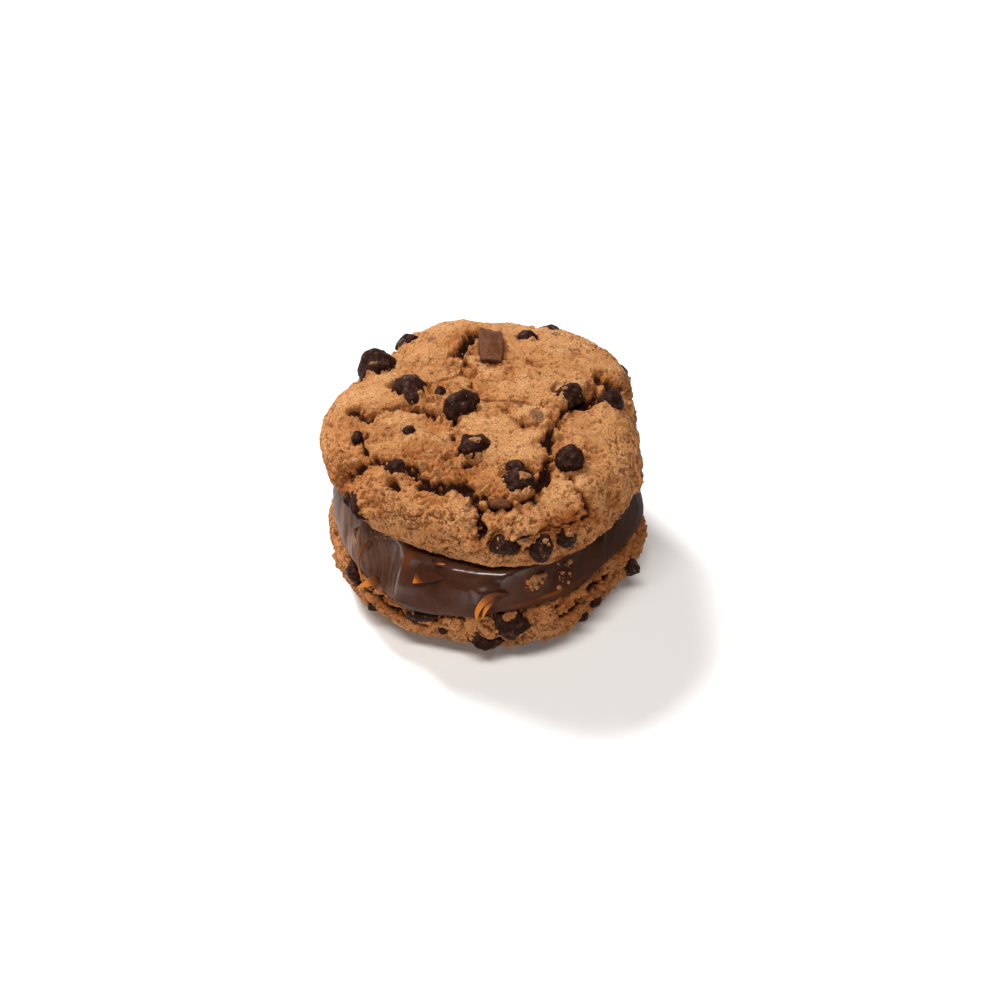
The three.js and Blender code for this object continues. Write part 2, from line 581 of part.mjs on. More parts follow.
// Thin wisps that the spreading knife pulled off: each runs along a curve and narrows to a tip.
// Their points are [along the rim, outward, upward] from a start on the caramel's side.
// narrowing is the power by which the width falls; below 0 the width grows from the start instead.
const WISP_STEPS = 5;
const WISP_TIP = 0.12;
const WISPS = [
  {
    // flap below the shoulder, widest at its free end
    angle: 254.6, height: 26.2, stand: 35.3, wide: 4, thick: 0.7, narrowing: -1,
    points: [[0.6, 0, -0.1], [-1.8, 0.6, 0.3], [-4, 0.9, 0.8], [-6.4, 0.9, 1.3]],
  },
  {
    // long tine of the forked curl over the lip
    angle: 275.4, height: 23.2, stand: 36.6, wide: 2.7, thick: 0.8, narrowing: 0.6,
    points: [[0.3, -0.6, -0.4], [-2, 1.5, 2], [-4.3, 2.2, 1.3], [-5.8, 2.3, -1.5], [-6.1, 1.8, -5.1]],
  },
  {
    // short tine of the same curl
    angle: 274.8, height: 22.6, stand: 36.6, wide: 1.8, thick: 0.7, narrowing: 0.6,
    points: [[0, -0.6, -0.6], [-2.2, 1.3, 0.6], [-3.6, 2, -1], [-4.4, 2, -4]],
  },
  {
    // long curl at the left
    angle: 221, height: 26, stand: 34.4, wide: 1.1, thick: 0.7, narrowing: 0.5,
    points: [[0, -0.4, 0], [-1.3, 1.2, -2.4], [-1.6, 2, -5.4], [-0.4, 2.4, -8.6], [0.4, 2.6, -10.4]],
  },
  {
    // broad tail of that curl
    angle: 226.6, height: 18.4, stand: 36, wide: 2.4, thick: 0.7, narrowing: 0.8,
    points: [[0.6, -0.4, 0.3], [-0.6, 1, -0.8], [-2.2, 1.8, -2.2], [-4, 2.2, -4.2]],
  },
  {
    // short curl behind it
    angle: 213, height: 26.2, stand: 33.4, wide: 0.9, thick: 0.6, narrowing: 0.5,
    points: [[0, -0.4, 0], [-0.8, 1, -1], [0.4, 1.6, -2.2], [1.6, 1.8, -3.8]],
  },
  {
    // nub under the upper rim
    angle: 252, height: 28.4, stand: 33, wide: 1, thick: 0.6, narrowing: 0.5,
    points: [[-1.6, -0.6, -0.2], [-0.6, 1.2, 0.9], [0.6, 1.6, 1.5], [1.6, 1.4, 1.4]],
  },
];
const STRIP_CORNERS = [[-1, -1], [1, -1], [1, 1], [-1, 1]];

function wispGeometry({ angle, height, stand, points, wide, thick, narrowing }) {
  const out = new THREE.Vector3(Math.cos(radians(angle)), Math.sin(radians(angle)), 0);
  const along = new THREE.Vector3(-out.y, out.x, 0);
  const start = out.clone().multiplyScalar(stand).setZ(height);
  const placed = points.map(([a, b, c]) =>
    start.clone().addScaledVector(along, a).addScaledVector(out, b).setZ(height + c),
  );
  const curve = new THREE.CatmullRomCurve3(placed);
  const corners = [];
  const index = [0, 2, 1, 0, 3, 2];
  for (let i = 0; i <= WISP_STEPS; i++) {
    const left = 1 - i / WISP_STEPS;
    const taper = Math.max(WISP_TIP, narrowing > 0 ? left ** narrowing : 1 - left);
    const centre = curve.getPoint(i / WISP_STEPS);
    const tangent = curve.getTangent(i / WISP_STEPS);
    const across = new THREE.Vector3().crossVectors(out, tangent).normalize();
    const flat = new THREE.Vector3().crossVectors(tangent, across).normalize();
    for (const [a, b] of STRIP_CORNERS) {
      const corner = centre.clone().addScaledVector(across, (a * wide * taper) / 2);
      corners.push(corner.addScaledVector(flat, (b * thick * taper) / 2));
    }
    if (i === WISP_STEPS) break;
    for (let side = 0; side < 4; side++) {
      const a = 4 * i + side;
      const b = 4 * i + ((side + 1) % 4);
      index.push(a, b, b + 4, a, b + 4, a + 4);
    }
  }
  const end = 4 * WISP_STEPS;
  index.push(end, end + 1, end + 2, end, end + 2, end + 3);
  return new THREE.BufferGeometry().setFromPoints(corners).setIndex(index);
}

const SIDE_ROWS = 11;
const SIDE_COUNT = 84;

function caramelMesh() {
  const top = [0.25, 0.5, 0.75, 0.9, 1].map((at) => ({ at, count: Math.round(SIDE_COUNT * at * at) }));
  const side = Array.from({ length: SIDE_ROWS }, (_, row) => ({
    at: 1.5 - 0.5 * Math.cos(Math.PI * ((row + 1) / SIDE_ROWS)),
    count: SIDE_COUNT,
  }));
  const base = [2.5, 3, 3.3, 3.7].map((at) => ({
    at,
    count: Math.round(0.7 * SIDE_COUNT * Math.min(1, 4 - at)),
  }));
  const rings = [...top, ...side, ...base];
  const shell = ringedGeometry(rings, caramelPoint(0, 0), caramelPoint(0, 4), caramelPoint);
  const solid = WISPS.reduce((whole, wisp) => whole.add(solidFrom(wispGeometry(wisp))), solidFrom(shell));
  return meshFrom(mainBody(solid), "caramel", CARAMEL);
}

const group = new THREE.Group();
group.add(...cookieMeshes(LOWER, 3.05), caramelMesh(), ...cookieMeshes(UPPER, 2.5));
group.position.set(-CENTRE[0], -CENTRE[1], 0);

export default group;
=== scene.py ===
"""A sandwich of two chocolate chip cookies with a thick layer of milk caramel, on a pale table.

Sizes are in millimetres and turn into metres where a mesh is made. A place on a cookie is written as
(angle, reach): degrees round the cookie from +X, and millimetres along its surface from the crown.
"""
from math import pi, radians

import bmesh
import bpy
import numpy as np
from mathutils import Matrix, Vector


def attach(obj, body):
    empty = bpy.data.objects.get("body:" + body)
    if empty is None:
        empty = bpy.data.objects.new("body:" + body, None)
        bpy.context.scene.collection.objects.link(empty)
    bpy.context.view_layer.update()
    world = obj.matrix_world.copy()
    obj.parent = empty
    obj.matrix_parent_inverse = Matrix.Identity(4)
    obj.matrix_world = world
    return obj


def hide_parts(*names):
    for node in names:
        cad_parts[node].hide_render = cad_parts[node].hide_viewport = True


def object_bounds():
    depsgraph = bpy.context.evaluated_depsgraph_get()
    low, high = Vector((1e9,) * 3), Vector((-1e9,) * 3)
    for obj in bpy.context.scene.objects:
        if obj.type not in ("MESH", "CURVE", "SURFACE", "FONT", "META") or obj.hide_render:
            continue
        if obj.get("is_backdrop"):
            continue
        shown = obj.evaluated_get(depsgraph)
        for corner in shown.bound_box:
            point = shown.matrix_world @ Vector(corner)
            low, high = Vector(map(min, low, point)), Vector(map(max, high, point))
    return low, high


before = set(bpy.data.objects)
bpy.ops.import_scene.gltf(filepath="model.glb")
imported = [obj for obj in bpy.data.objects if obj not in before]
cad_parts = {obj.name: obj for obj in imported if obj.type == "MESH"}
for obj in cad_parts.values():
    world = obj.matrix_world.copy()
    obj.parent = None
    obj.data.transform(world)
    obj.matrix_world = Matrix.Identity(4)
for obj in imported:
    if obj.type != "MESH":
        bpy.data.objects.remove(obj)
cad_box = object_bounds()

# The lower cookie: a thick disc of chocolate chip dough, baked until the dome cracked into plates.
# It lies dome down, on a spot that was pressed flat, and carries the caramel on its flat side.
MM = 0.001
COOKIE_THICK = 18
CARAMEL_THICK = 11
RADIUS = 36
WAIST = 0.38 * COOKIE_THICK  # height of the widest part above the flat side
HEEL = 0.13  # how far the edge of the flat side is drawn in, as a share of the radius
FACE_POWER = 3.2  # the higher, the flatter the dome and the tighter its shoulder
SIDE_POWER = 2.2
REST_DEPTH = 0.6  # the spot under the dome that was pressed flat
REST_REACH = 9
CENTRE = np.array([-0.65, -0.24, 0])  # middle of the whole part, from the cookies' own middle


def smooth(value, low, high):
    """0 below low, 1 above high, with a soft rise between them."""
    share = np.clip((value - low) / (high - low), 0, 1)
    return share * share * (3 - 2 * share)


def bell(value, middle, wide):
    """1 at the middle, and about a third of that one width away."""
    return np.exp(-((value - middle) / wide) ** 2)


def unit(directions):
    """Directions brought to length 1."""
    return directions / np.linalg.norm(directions, axis=1, keepdims=True)


def lattice(i, j, k):
    """A number between -1 and 1 for each corner of a grid, the same each time."""
    wave = np.sin(i * 127.1 + j * 311.7 + k * 74.7) * 43758.5453
    return 2 * (wave - np.floor(wave)) - 1


def lumps(points, cell):
    """Soft lumps between -1 and 1, about one cell across."""
    at = points / cell
    low = np.floor(at)
    share = smooth(at - low, 0, 1)
    total = np.zeros(len(points))
    for corner in range(8):
        step = np.array([corner & 1, (corner >> 1) & 1, corner >> 2])
        weight = np.prod(np.where(step, share, 1 - share), axis=1)
        total += weight * lattice(*(low + step).T)
    return total


def grains(points, cell):
    """Grains, one to a cell: distance to the nearest and to the next, in cells, and its own number 0-1."""
    at = points / cell
    low = np.floor(at)
    near = np.full(len(points), 9.0)
    following = near.copy()
    number = np.zeros(len(points))
    for offset in np.ndindex(3, 3, 3):
        square = low + np.array(offset) - 1
        i, j, k = square.T
        jitter = [lattice(i, j, k + 31), lattice(i + 57, j, k), lattice(i, j + 83, k)]
        jitter = np.stack(jitter, axis=1)
        distance = np.linalg.norm(square + 0.5 + 0.45 * jitter - at, axis=1)
        closer = distance < near
        following = np.where(closer, near, np.minimum(following, distance))
        number = np.where(closer, 0.5 + 0.5 * lattice(i + 11, j + 7, k + 5), number)
        near = np.where(closer, distance, near)
    return near, following, number


def clods(points, size):
    """Rounded clods packed side by side: 1 on top of each, 0 in the creases between them."""
    bent = np.stack([lumps(points + 40 * axis, size) for axis in range(3)], axis=1)
    near, following, _ = grains(points + 0.35 * size * bent, size)
    return smooth(following - near, 0, 0.7)


def fissures(points, size, wide):
    """Short wandering cracks: 1 in the crack, 0 beside it."""
    field = lumps(points, size) + 0.5 * lumps(points + 5, size / 2.3)
    line = 1 - smooth(np.abs(field) * size / 1.5, 0.2 * wide, wide)
    return line * smooth(lumps(points + 20, 0.8 * size), -0.05, 0.25)


# Half section of a cookie with its dome up: crown, rim, waist, heel, then the flat side
arc = np.linspace(pi / 2, 0, 601)
turn = np.linspace(pi / 2, 0, 301)[1:]
SECTION_SHARE = np.concatenate([np.cos(arc) ** (2 / FACE_POWER), 1 - HEEL * (1 - np.sin(turn)), [0]])
SECTION_HEIGHT = np.concatenate([
    WAIST + (COOKIE_THICK - WAIST) * np.sin(arc) ** (2 / SIDE_POWER), WAIST * (1 - np.cos(turn)), [0],
])
SECTION_REACH = np.concatenate([
    [0], np.cumsum(np.hypot(np.diff(SECTION_SHARE) * RADIUS, np.diff(SECTION_HEIGHT))),
])
HEEL_REACH = SECTION_REACH[-2]
FULL_REACH = SECTION_REACH[-1]
SECTION_RUN = np.gradient(SECTION_SHARE * RADIUS, SECTION_REACH)
SECTION_RISE = np.gradient(SECTION_HEIGHT, SECTION_REACH)
SECTION = (SECTION_SHARE, SECTION_HEIGHT, SECTION_RUN, SECTION_RISE)


def outline_radius(cookie, angle):
    """Radius of the rim round the cookie; angle in radians."""
    radius = cookie["radius"] + cookie["shift"][0] * np.cos(angle) + cookie["shift"][1] * np.sin(angle)
    for count, depth, direction in cookie["lobes"]:
        radius = radius + depth * np.cos(count * (angle - radians(direction)))
    return radius


def swung(radius, angle, height):
    """Points at a radius and a height, swung round the middle; angles in radians."""
    return np.stack([radius * np.cos(angle), radius * np.sin(angle), height + 0 * angle], axis=1)


def plain_surface(cookie, angle, reach):
    """Points and outward directions on the cookie before it cracked; angles in radians."""
    angle, reach = np.atleast_1d(angle).astype(float), np.atleast_1d(reach).astype(float)
    share, height, run, rise = (np.interp(reach, SECTION_REACH, values) for values in SECTION)
    flip = -1 if cookie["dome_down"] else 1
    points = swung(share * outline_radius(cookie, angle), angle, cookie["flat_height"] + flip * height)
    return points, unit(swung(-rise, angle, flip * run))


def place_on(cookie, angle, reach):
    """One place on the cookie and the direction outward there; angle in degrees."""
    points, outward = plain_surface(cookie, radians(angle), reach)
    return points[0], outward[0]


def near_place(cookie, points, angle, reach, across):
    """1 at a place on the cookie, fading out over so many millimetres across."""
    middle = place_on(cookie, angle, reach)[0]
    return np.exp(-np.sum((points - middle) ** 2, axis=1) / (across / 2) ** 2)


CRACK_WANDER = 0.9  # how far a crack strays from its path
CRACK_DEPTH = 1.9
LIP_REACH = 5  # how far back the dough beside a crack is lifted
BROW = 0.45  # how far a crack's edge leans over it
COLLAR_LEAN = 0.6  # how far dough that climbed a chip leans on it


def cracked(cookie, points, outward):
    """How deep and how crumbly the cracks are, how far their lips rise, and how far these lean over."""
    groove = np.zeros(len(points))
    crumbly = groove.copy()
    lifted = groove.copy()
    shares = np.full(len(points), 1e-9)
    closest = np.full(len(points), np.inf)
    lean = np.zeros_like(points)
    wander = CRACK_WANDER * lumps(points, 2.6)
    ragged = 0.8 * lumps(points, 2.0) + 0.4 * lumps(points, 0.9) + 0.15 * lumps(points, 0.5)
    narrowed = np.maximum(0.3, 0.85 + 0.6 * lumps(points + 9, 3.5))
    deepened = 1 + 0.35 * lumps(points + 15, 3.0)
    for path, wide, deep, lift in cookie["cracks"]:
        corners = [place_on(cookie, angle, reach)[0] for angle, reach in path]
        distance = np.full(len(points), np.inf)
        side = np.zeros(len(points))
        inward = np.zeros_like(points)
        for start, end in zip(corners, corners[1:]):
            along = end - start
            offset = points - start
            share = np.clip(offset @ along / (along @ along), 0, 1)
            offset = offset - share[:, None] * along
            away = np.linalg.norm(offset, axis=1)
            across = offset / np.maximum(away, 0.01)[:, None]
            turned = np.einsum("ij,ij->i", np.cross(along / np.linalg.norm(along), across), outward)
            closer = away < distance
            distance = np.where(closer, away, distance)
            side = np.where(closer, turned * (-1 if cookie["dome_down"] else 1), side)
            inward = np.where(closer[:, None], -across * np.minimum(1, away / 0.2)[:, None], inward)
        distance = np.maximum(0, distance + wander)
        edge = (distance + ragged * min(1, wide)) / (wide * narrowed)
        groove = np.maximum(groove, CRACK_DEPTH * deep * deepened * (1 - smooth(edge, 0.3, 1.1)))
        crumbly = np.maximum(crumbly, min(1, deep / 1.5) * bell(distance, 0, 1.3 * wide))
        near = bell(distance, 0, LIP_REACH)
        lifted += lift * side * near * abs(lift) * near
        shares += abs(lift) * near
        over = BROW * min(1, deep) * bell(edge, 1.15, 0.5)
        lean = np.where((distance < closest)[:, None], inward * over[:, None], lean)
        closest = np.minimum(closest, distance)
    return groove, crumbly, lifted / shares, lean


def ground_height(cookie, points):
    """Height of the broad mounds and hollows."""
    height = 0.6 * lumps(points, 7)
    for *place, rise in cookie["ground"]:
        height += rise * near_place(cookie, points, *place)
    return height


def collar(cookie, points):
    """How far dough climbed against the chips or left a gap beside them, and how far it leans on them."""
    rise = np.zeros(len(points))
    gap = rise.copy()
    lean = np.zeros_like(points)
    uneven = 0.1 + 1.3 * lumps(points, 2.4) + 0.6 * lumps(points, 1.1)
    for angle, reach, _, wide, long, _, *_ in cookie["chips"]:
        middle = place_on(cookie, angle, reach)[0]
        offset = middle - points
        away = np.linalg.norm(offset, axis=1)
        share = away / (0.25 * (wide + long))
        near = 1 - smooth(np.abs(share - 0.9), 0.12, 0.6)
        rise = np.maximum(rise, near * uneven)
        gap = np.maximum(gap, (1 - smooth(np.abs(share - 1.0), 0.1, 0.4)) * (-0.2 - 2.2 * uneven))
        climbed = near * np.clip(uneven, 0, 1) * (share > 0.75)
        lean += offset / np.maximum(away, 0.5)[:, None] * (COLLAR_LEAN * climbed)[:, None]
    return rise - np.minimum(gap, 1.5), lean


def torn_dough(points):
    """Clods and small lumps where the dough is torn open."""
    large = 1.8 * (clods(points, 2.7) - 0.6)
    return large + 1.1 * (clods(points + 5, 1.3) - 0.5) + 0.35 * lumps(points, 0.6)


def dried_skin(points, sandy, pitted):
    """The skin over the plates, with pinholes; where it is sandy it is lumpier, and splits."""
    skin = (0.1 * lumps(points, 2.0) + (0.12 + 0.16 * sandy) * np.abs(lumps(points, 1.4))
            + (0.14 + 0.14 * sandy) * np.abs(lumps(points, 0.75)) - 0.1)
    split = sandy * 0.7 * fissures(points + 7, 3.4, 0.25)
    near, _, number = grains(points, 1.35)
    pinholes = np.where(number < pitted * (0.6 + 0.6 * sandy), 1 - smooth(near, 0.14, 0.32), 0)
    return skin - split - 0.8 * pinholes


SANDY_FROM, SANDY_TO = 26, 33  # the reach at which the skin turns sandy towards the rim
PEAK = 0.8  # no fine lump rises higher
FADE = 5  # the broad shapes fade out over this reach, towards the flat side and the spot that rests


def baked_surface(cookie, angle, reach):
    """The cracked, crumbly surface: how crumbly and sunk each point is, and how far from the painted shade
    of the hollows.
    """
    points, outward = plain_surface(cookie, angle, reach)
    groove, crumbly, lip, lean = cracked(cookie, points, outward)
    for *place, share in cookie["crumbly"]:
        crumbly = np.maximum(crumbly, share * near_place(cookie, points, *place))
    for hole_angle, hole_reach, across, deep in cookie["holes"]:
        middle = place_on(cookie, hole_angle, hole_reach)[0]
        away = np.linalg.norm(points - middle, axis=1) + 0.5 * lumps(points, 1.3)
        groove = np.maximum(groove, deep * (1 - smooth(away / (across / 2), 0.6, 1.1)))
        crumbly = np.maximum(crumbly, 0.8 * (1 - smooth(away / across, 0.4, 1)))
    climbed, against = collar(cookie, points)
    lean = lean + against
    groove = groove * (1 - 0.8 * clods(points + 11, 2.1)) - climbed
    broad = 0.38 * lumps(points, 3.4) + 0.2 * lumps(points + 70, 1.7)
    broad = broad + ground_height(cookie, points) + lip - groove
    patchy = smooth(lumps(points + 50, 6) + 0.5 * lumps(points + 60, 2.5), 0.15, 0.75)
    crumbly = np.maximum(crumbly, 0.45 * patchy)
    sandy = smooth(reach + 2.5 * lumps(points + 3, 6), SANDY_FROM, SANDY_TO) * cookie["sandy"] + 0.2
    skin = dried_skin(points, sandy, cookie["pitted"])
    fine = np.minimum(crumbly * torn_dough(points) + (1 - 0.7 * crumbly) * skin, PEAK)
    baked = 1 - smooth(reach, HEEL_REACH - FADE, HEEL_REACH)
    edge = 1 - smooth(reach, HEEL_REACH - 1.5, HEEL_REACH)
    pressed = 0
    if cookie["dome_down"]:
        pressed = 1 - smooth(reach, REST_REACH, REST_REACH + FADE)
    rough = baked * broad + edge * fine
    rough = rough + pressed * (REST_DEPTH - rough)
    points = points + rough[:, None] * outward + (baked * (1 - pressed))[:, None] * lean
    if cookie["dome_down"]:
        points[:, 2] = np.maximum(points[:, 2], 0)
    sunk = np.clip((groove - 1.2 * fine - 0.1) / 2.1, 0, 1)
    # how far a point stands out of the hollows; the dough's colour paints shade into the rest
    clear_of_hollows = smooth(fine - 0.4 * groove + 0.1 * lumps(points, 3.4), -0.3, 0.1)
    return points, {"crumbly": crumbly, "sunk": sunk, "clear_of_hollows": clear_of_hollows}


def even_rings(start, end, step, radius_at):
    """Rings of points from start to end, about a step apart, as (station, count)."""
    rows = max(1, round((end - start) / step))
    rings = []
    for row in range(rows):
        at = start + (row + 1) / rows * (end - start)
        rings.append((at, max(6, round(2 * pi * radius_at(at) / step))))
    return rings


def ring_faces(rings):
    """Triangles of a surface of rings between two poles; point 0 is the first pole."""
    counts = [count for _, count in rings]
    faces = [(0, 1 + i, 1 + (i + 1) % counts[0]) for i in range(counts[0])]
    start = 1
    for inner, outer in zip(counts, counts[1:]):
        beyond = start + inner
        i = j = 0
        while i < inner or j < outer:
            if j >= outer or (i < inner and (i + 1) / inner <= (j + 1) / outer):
                faces.append((start + i % inner, beyond + j % outer, start + (i + 1) % inner))
                i += 1
            else:
                faces.append((start + i % inner, beyond + j % outer, beyond + (j + 1) % outer))
                j += 1
        start = beyond
    last = start + counts[-1]
    faces += [(start + i, last, start + (i + 1) % counts[-1]) for i in range(counts[-1])]
    return np.array(faces)


def ring_points(rings, end):
    """Angle and station of every point, with both poles; every other ring is turned by half a step."""
    angles = [2 * pi * (np.arange(count) + row % 2 / 2) / count for row, (_, count) in enumerate(rings)]
    stations = [np.full(count, at) for at, count in rings]
    return np.concatenate([[0], *angles, [0]]), np.concatenate([[0], *stations, [end]])


def make_piece(name, points, faces, material, nodes, masks=None):
    """A smooth mesh from millimetre points in the cookies' own frame, which replaces its CAD nodes."""
    mesh = bpy.data.meshes.new(name)
    mesh.from_pydata((points - CENTRE) * MM, [], faces)
    mesh.shade_smooth()
    for mask, values in (masks or {}).items():
        kind, field = ("FLOAT", "value") if values.ndim == 1 else ("FLOAT_VECTOR", "vector")
        mesh.attributes.new(mask, kind, "POINT").data.foreach_set(field, values.astype(np.float32).ravel())
    mesh.materials.append(material)
    piece = bpy.data.objects.new(name, mesh)
    bpy.context.scene.collection.objects.link(piece)
    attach(piece, "root")
    if nodes:
        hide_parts(*nodes)


RIM_FROM, RIM_TO = 27, 42


def bake_cookie(cookie, rings, material):
    """A cookie's whole skin, with the masks that its colours need."""
    angles, reaches = ring_points(rings, FULL_REACH)
    points, masks = baked_surface(cookie, angles, reaches)
    faces = ring_faces(rings)
    if cookie["dome_down"]:
        faces = faces[:, ::-1]
    masks["rim"] = smooth(reaches, RIM_FROM, RIM_TO)
    for kind in ("smears", "patches"):
        masks[kind] = np.zeros(len(points))
        for *place, strength in cookie[kind]:
            masks[kind] = np.maximum(masks[kind], strength * near_place(cookie, points, *place))
    name = f"{cookie['name']}_cookie"
    make_piece(f"baked_{name}", points, faces.tolist(), material, [name], masks)


def node(tree, kind, settings=None, **sockets):
    """A shader node with its sockets set or linked; _0, _1 and so on name a socket by its place."""
    made = tree.nodes.new("ShaderNode" + kind)
    for name, value in (settings or {}).items():
        setattr(made, name, value)
    for name, value in sockets.items():
        socket = made.inputs[int(name[1:]) if name[0] == "_" else name.replace("_", " ")]
        if isinstance(value, bpy.types.NodeSocket):
            tree.links.new(value, socket)
        else:
            socket.default_value = value
    return made


def mixed(tree, share, first, second, how="MIX"):
    """Two colours laid over each other; inputs 0, 6 and 7 of a colour Mix are the share and the colours."""
    settings = {"data_type": "RGBA", "blend_type": how}
    return node(tree, "Mix", settings, _0=share, _6=first, _7=second).outputs[2]


def layered(tree, colour, layers):
    """A colour with others laid over it in turn; a layer is its share and its colour."""
    for share, tint in layers.values():
        colour = mixed(tree, share, colour, tint)
    return colour


def ramp(tree, value, low, high, to_low=0.0, to_high=1.0):
    """A soft step between two levels, where the value goes from low to high."""
    settings = {"interpolation_type": "SMOOTHSTEP"}
    sockets = {"From_Min": low, "From_Max": high, "To_Min": to_low, "To_Max": to_high}
    return node(tree, "MapRange", settings, Value=value, **sockets).outputs[0]


def maths(tree, what, first, second):
    """One sum, product or comparison of two values."""
    return node(tree, "Math", {"operation": what}, _0=first, _1=second).outputs[0]


def times(tree, first, second):
    """One value scaled by another."""
    return maths(tree, "MULTIPLY", first, second)


def masks_on(tree, *names):
    """The masks that a mesh carries at its points, by name."""
    return {name: node(tree, "Attribute", {"attribute_name": name}).outputs["Fac"] for name in names}


def clouds(tree, place, across, detail=3.0, rough=0.55):
    """Noise whose clouds are about so many millimetres across."""
    sockets = {"Vector": place, "Scale": 1 / (across * MM), "Detail": detail, "Roughness": rough}
    return node(tree, "TexNoise", **sockets).outputs["Fac"]


def specks(tree, place, across, small, large, share):
    """Scattered specks, one to a cell of so many millimetres, for a share of the cells."""
    cell = node(tree, "TexVoronoi", Vector=place, Scale=1 / (across * MM)).outputs
    number = node(tree, "SeparateColor", _0=cell["Color"]).outputs[0]
    speck = ramp(tree, cell["Distance"], small, large, 1.0, 0.0)
    return times(tree, speck, maths(tree, "LESS_THAN", number, share))


def plain_material(name, **sockets):
    """A new material: its tree, the object's own coordinates, and its shader with plain sockets set."""
    material = bpy.data.materials.new(name)
    material.use_nodes = True
    tree = material.node_tree
    tree.nodes.clear()
    shader = node(tree, "BsdfPrincipled", **sockets)
    node(tree, "OutputMaterial", Surface=shader.outputs[0])
    place = node(tree, "TexCoord").outputs["Object"]
    return material, tree, place, shader


def lay_finish(tree, shader, colour, roughness, height, deep, strength):
    """Gives a shader its colour, its roughness and its bumps, which are so many millimetres deep."""
    bump = node(tree, "Bump", Height=height, Distance=deep * MM, Strength=strength).outputs[0]
    for name, value in (("Base Color", colour), ("Roughness", roughness), ("Normal", bump)):
        tree.links.new(value, shader.inputs[name])


def rgb(red, green, blue):
    """A colour as seen on a screen, 0-255, turned into the light it reflects."""
    shares = np.array([red, green, blue]) / 255
    light = np.where(shares <= 0.04045, shares / 12.92, ((shares + 0.055) / 1.055) ** 2.4)
    return (*light, 1.0)


dough, tree, place, shader = plain_material(
    "baked dough", Specular_IOR_Level=0.2, Subsurface_Weight=0.25, Subsurface_Scale=0.0007,
    Subsurface_Radius=(1.0, 0.4, 0.15))
mask = masks_on(tree, "crumbly", "sunk", "clear_of_hollows", "smears", "patches", "rim", "stuck")
# painted shade in the hollows of the skin: browner and darker there, patchy with random clouds
shaded = maths(tree, "ADD", ramp(tree, clouds(tree, place, 2.2, 5, 0.65), 0.4, 0.7), 0.5)
shaded = times(tree, shaded, maths(tree, "SUBTRACT", 1.0, mask["clear_of_hollows"]))
# the torn crumb's own orange where it is crumbly, and deeper in the cracks a painted warm shade
inside = maths(tree, "MAXIMUM", ramp(tree, mask["sunk"], 0.1, 0.7), times(tree, mask["crumbly"], 0.4))
inside = times(tree, inside, ramp(tree, clouds(tree, place, 1.3, 3), 0.2, 0.6, 0.4, 1.0))
smeared = times(tree, mask["smears"], ramp(tree, clouds(tree, place, 2.2, 4), 0.2, 0.45))
patched = times(tree, mask["patches"], ramp(tree, clouds(tree, place, 0.9, 3), 0.25, 0.6, 0.4, 1.0))
colour = layered(tree, rgb(207, 146, 90), {
    "pale clouds": (ramp(tree, clouds(tree, place, 9, 2), 0.35, 0.65), rgb(220, 164, 110)),
    # painted shade in the hollows
    "browned hollows": (ramp(tree, shaded, 0.0, 1.5, 0.0, 0.8), rgb(172, 103, 50)),
    "rim": (times(tree, mask["rim"], 0.45), rgb(204, 126, 66)),
    "stuck dabs and crumbs": (times(tree, mask["stuck"], 0.6), rgb(184, 118, 74)),
    # painted warm shade deeper in the cracks, over the torn crumb's own orange
    "torn inside with painted warm shade": (inside, rgb(180, 108, 48)),
    # painted shade: near black at the foot of the deepest cracks
    "painted shade at the foot of the cracks": (ramp(tree, mask["sunk"], 0.6, 1.0), rgb(62, 26, 10)),
    "smears of caramel": (smeared, rgb(168, 86, 14)),
    "chocolate under the skin": (ramp(tree, patched, 0.2, 0.45, 0.0, 0.8), rgb(122, 84, 60)),
})
grain = clouds(tree, place, 0.36, 3, 0.75)
shade = mixed(tree, ramp(tree, grain, 0.32, 0.6), rgb(200, 186, 170), rgb(255, 255, 255))
colour = mixed(tree, 1.0, colour, shade, "MULTIPLY")
# crazing of the dried skin, and its pinholes, too fine for the mesh; their dark colour is painted shade
CRAZE = 1.1 * MM
bent = node(tree, "TexNoise", Vector=place, Scale=1 / CRAZE, Detail=2.0).outputs["Color"]
bent = node(tree, "VectorMath", {"operation": "SCALE"}, _0=bent, Scale=CRAZE).outputs[0]
bent = node(tree, "VectorMath", {"operation": "ADD"}, _0=place, _1=bent).outputs[0]
crazed = node(tree, "TexVoronoi", {"feature": "DISTANCE_TO_EDGE"}, Vector=bent, Scale=1 / CRAZE)
open_wide = ramp(tree, clouds(tree, place, 1.5, 4, 0.65), 0.47, 0.66, 0.0, 0.26)
open_wide = times(tree, open_wide, ramp(tree, mask["rim"], 0.0, 1.0, 0.3, 1.0))
crazed = ramp(tree, maths(tree, "SUBTRACT", open_wide, crazed.outputs["Distance"]), 0.0, 0.035)
opened = maths(tree, "MAXIMUM", crazed, specks(tree, place, 0.9, 0.12, 0.22, 0.3))
colour = layered(tree, colour, {
    # painted shade in the crazing and the pinholes
    "painted shade in crazing and pinholes": (times(tree, opened, 0.72), rgb(106, 54, 23)),
    "cocoa flecks": (times(tree, specks(tree, place, 2.1, 0.1, 0.2, 0.25), 0.7), rgb(88, 54, 36)),
    "nut flecks": (times(tree, specks(tree, place, 4.1, 0.07, 0.14, 0.3), 0.5), rgb(130, 112, 100)),
})
height = maths(tree, "SUBTRACT", times(tree, grain, 2.5), times(tree, opened, 1.6))
height = maths(tree, "ADD", height, times(tree, clouds(tree, place, 1.2, 2), 0.6))
lay_finish(tree, shader, colour, ramp(tree, grain, 0.3, 0.7, 0.95, 0.75), height, 0.4, 1.0)

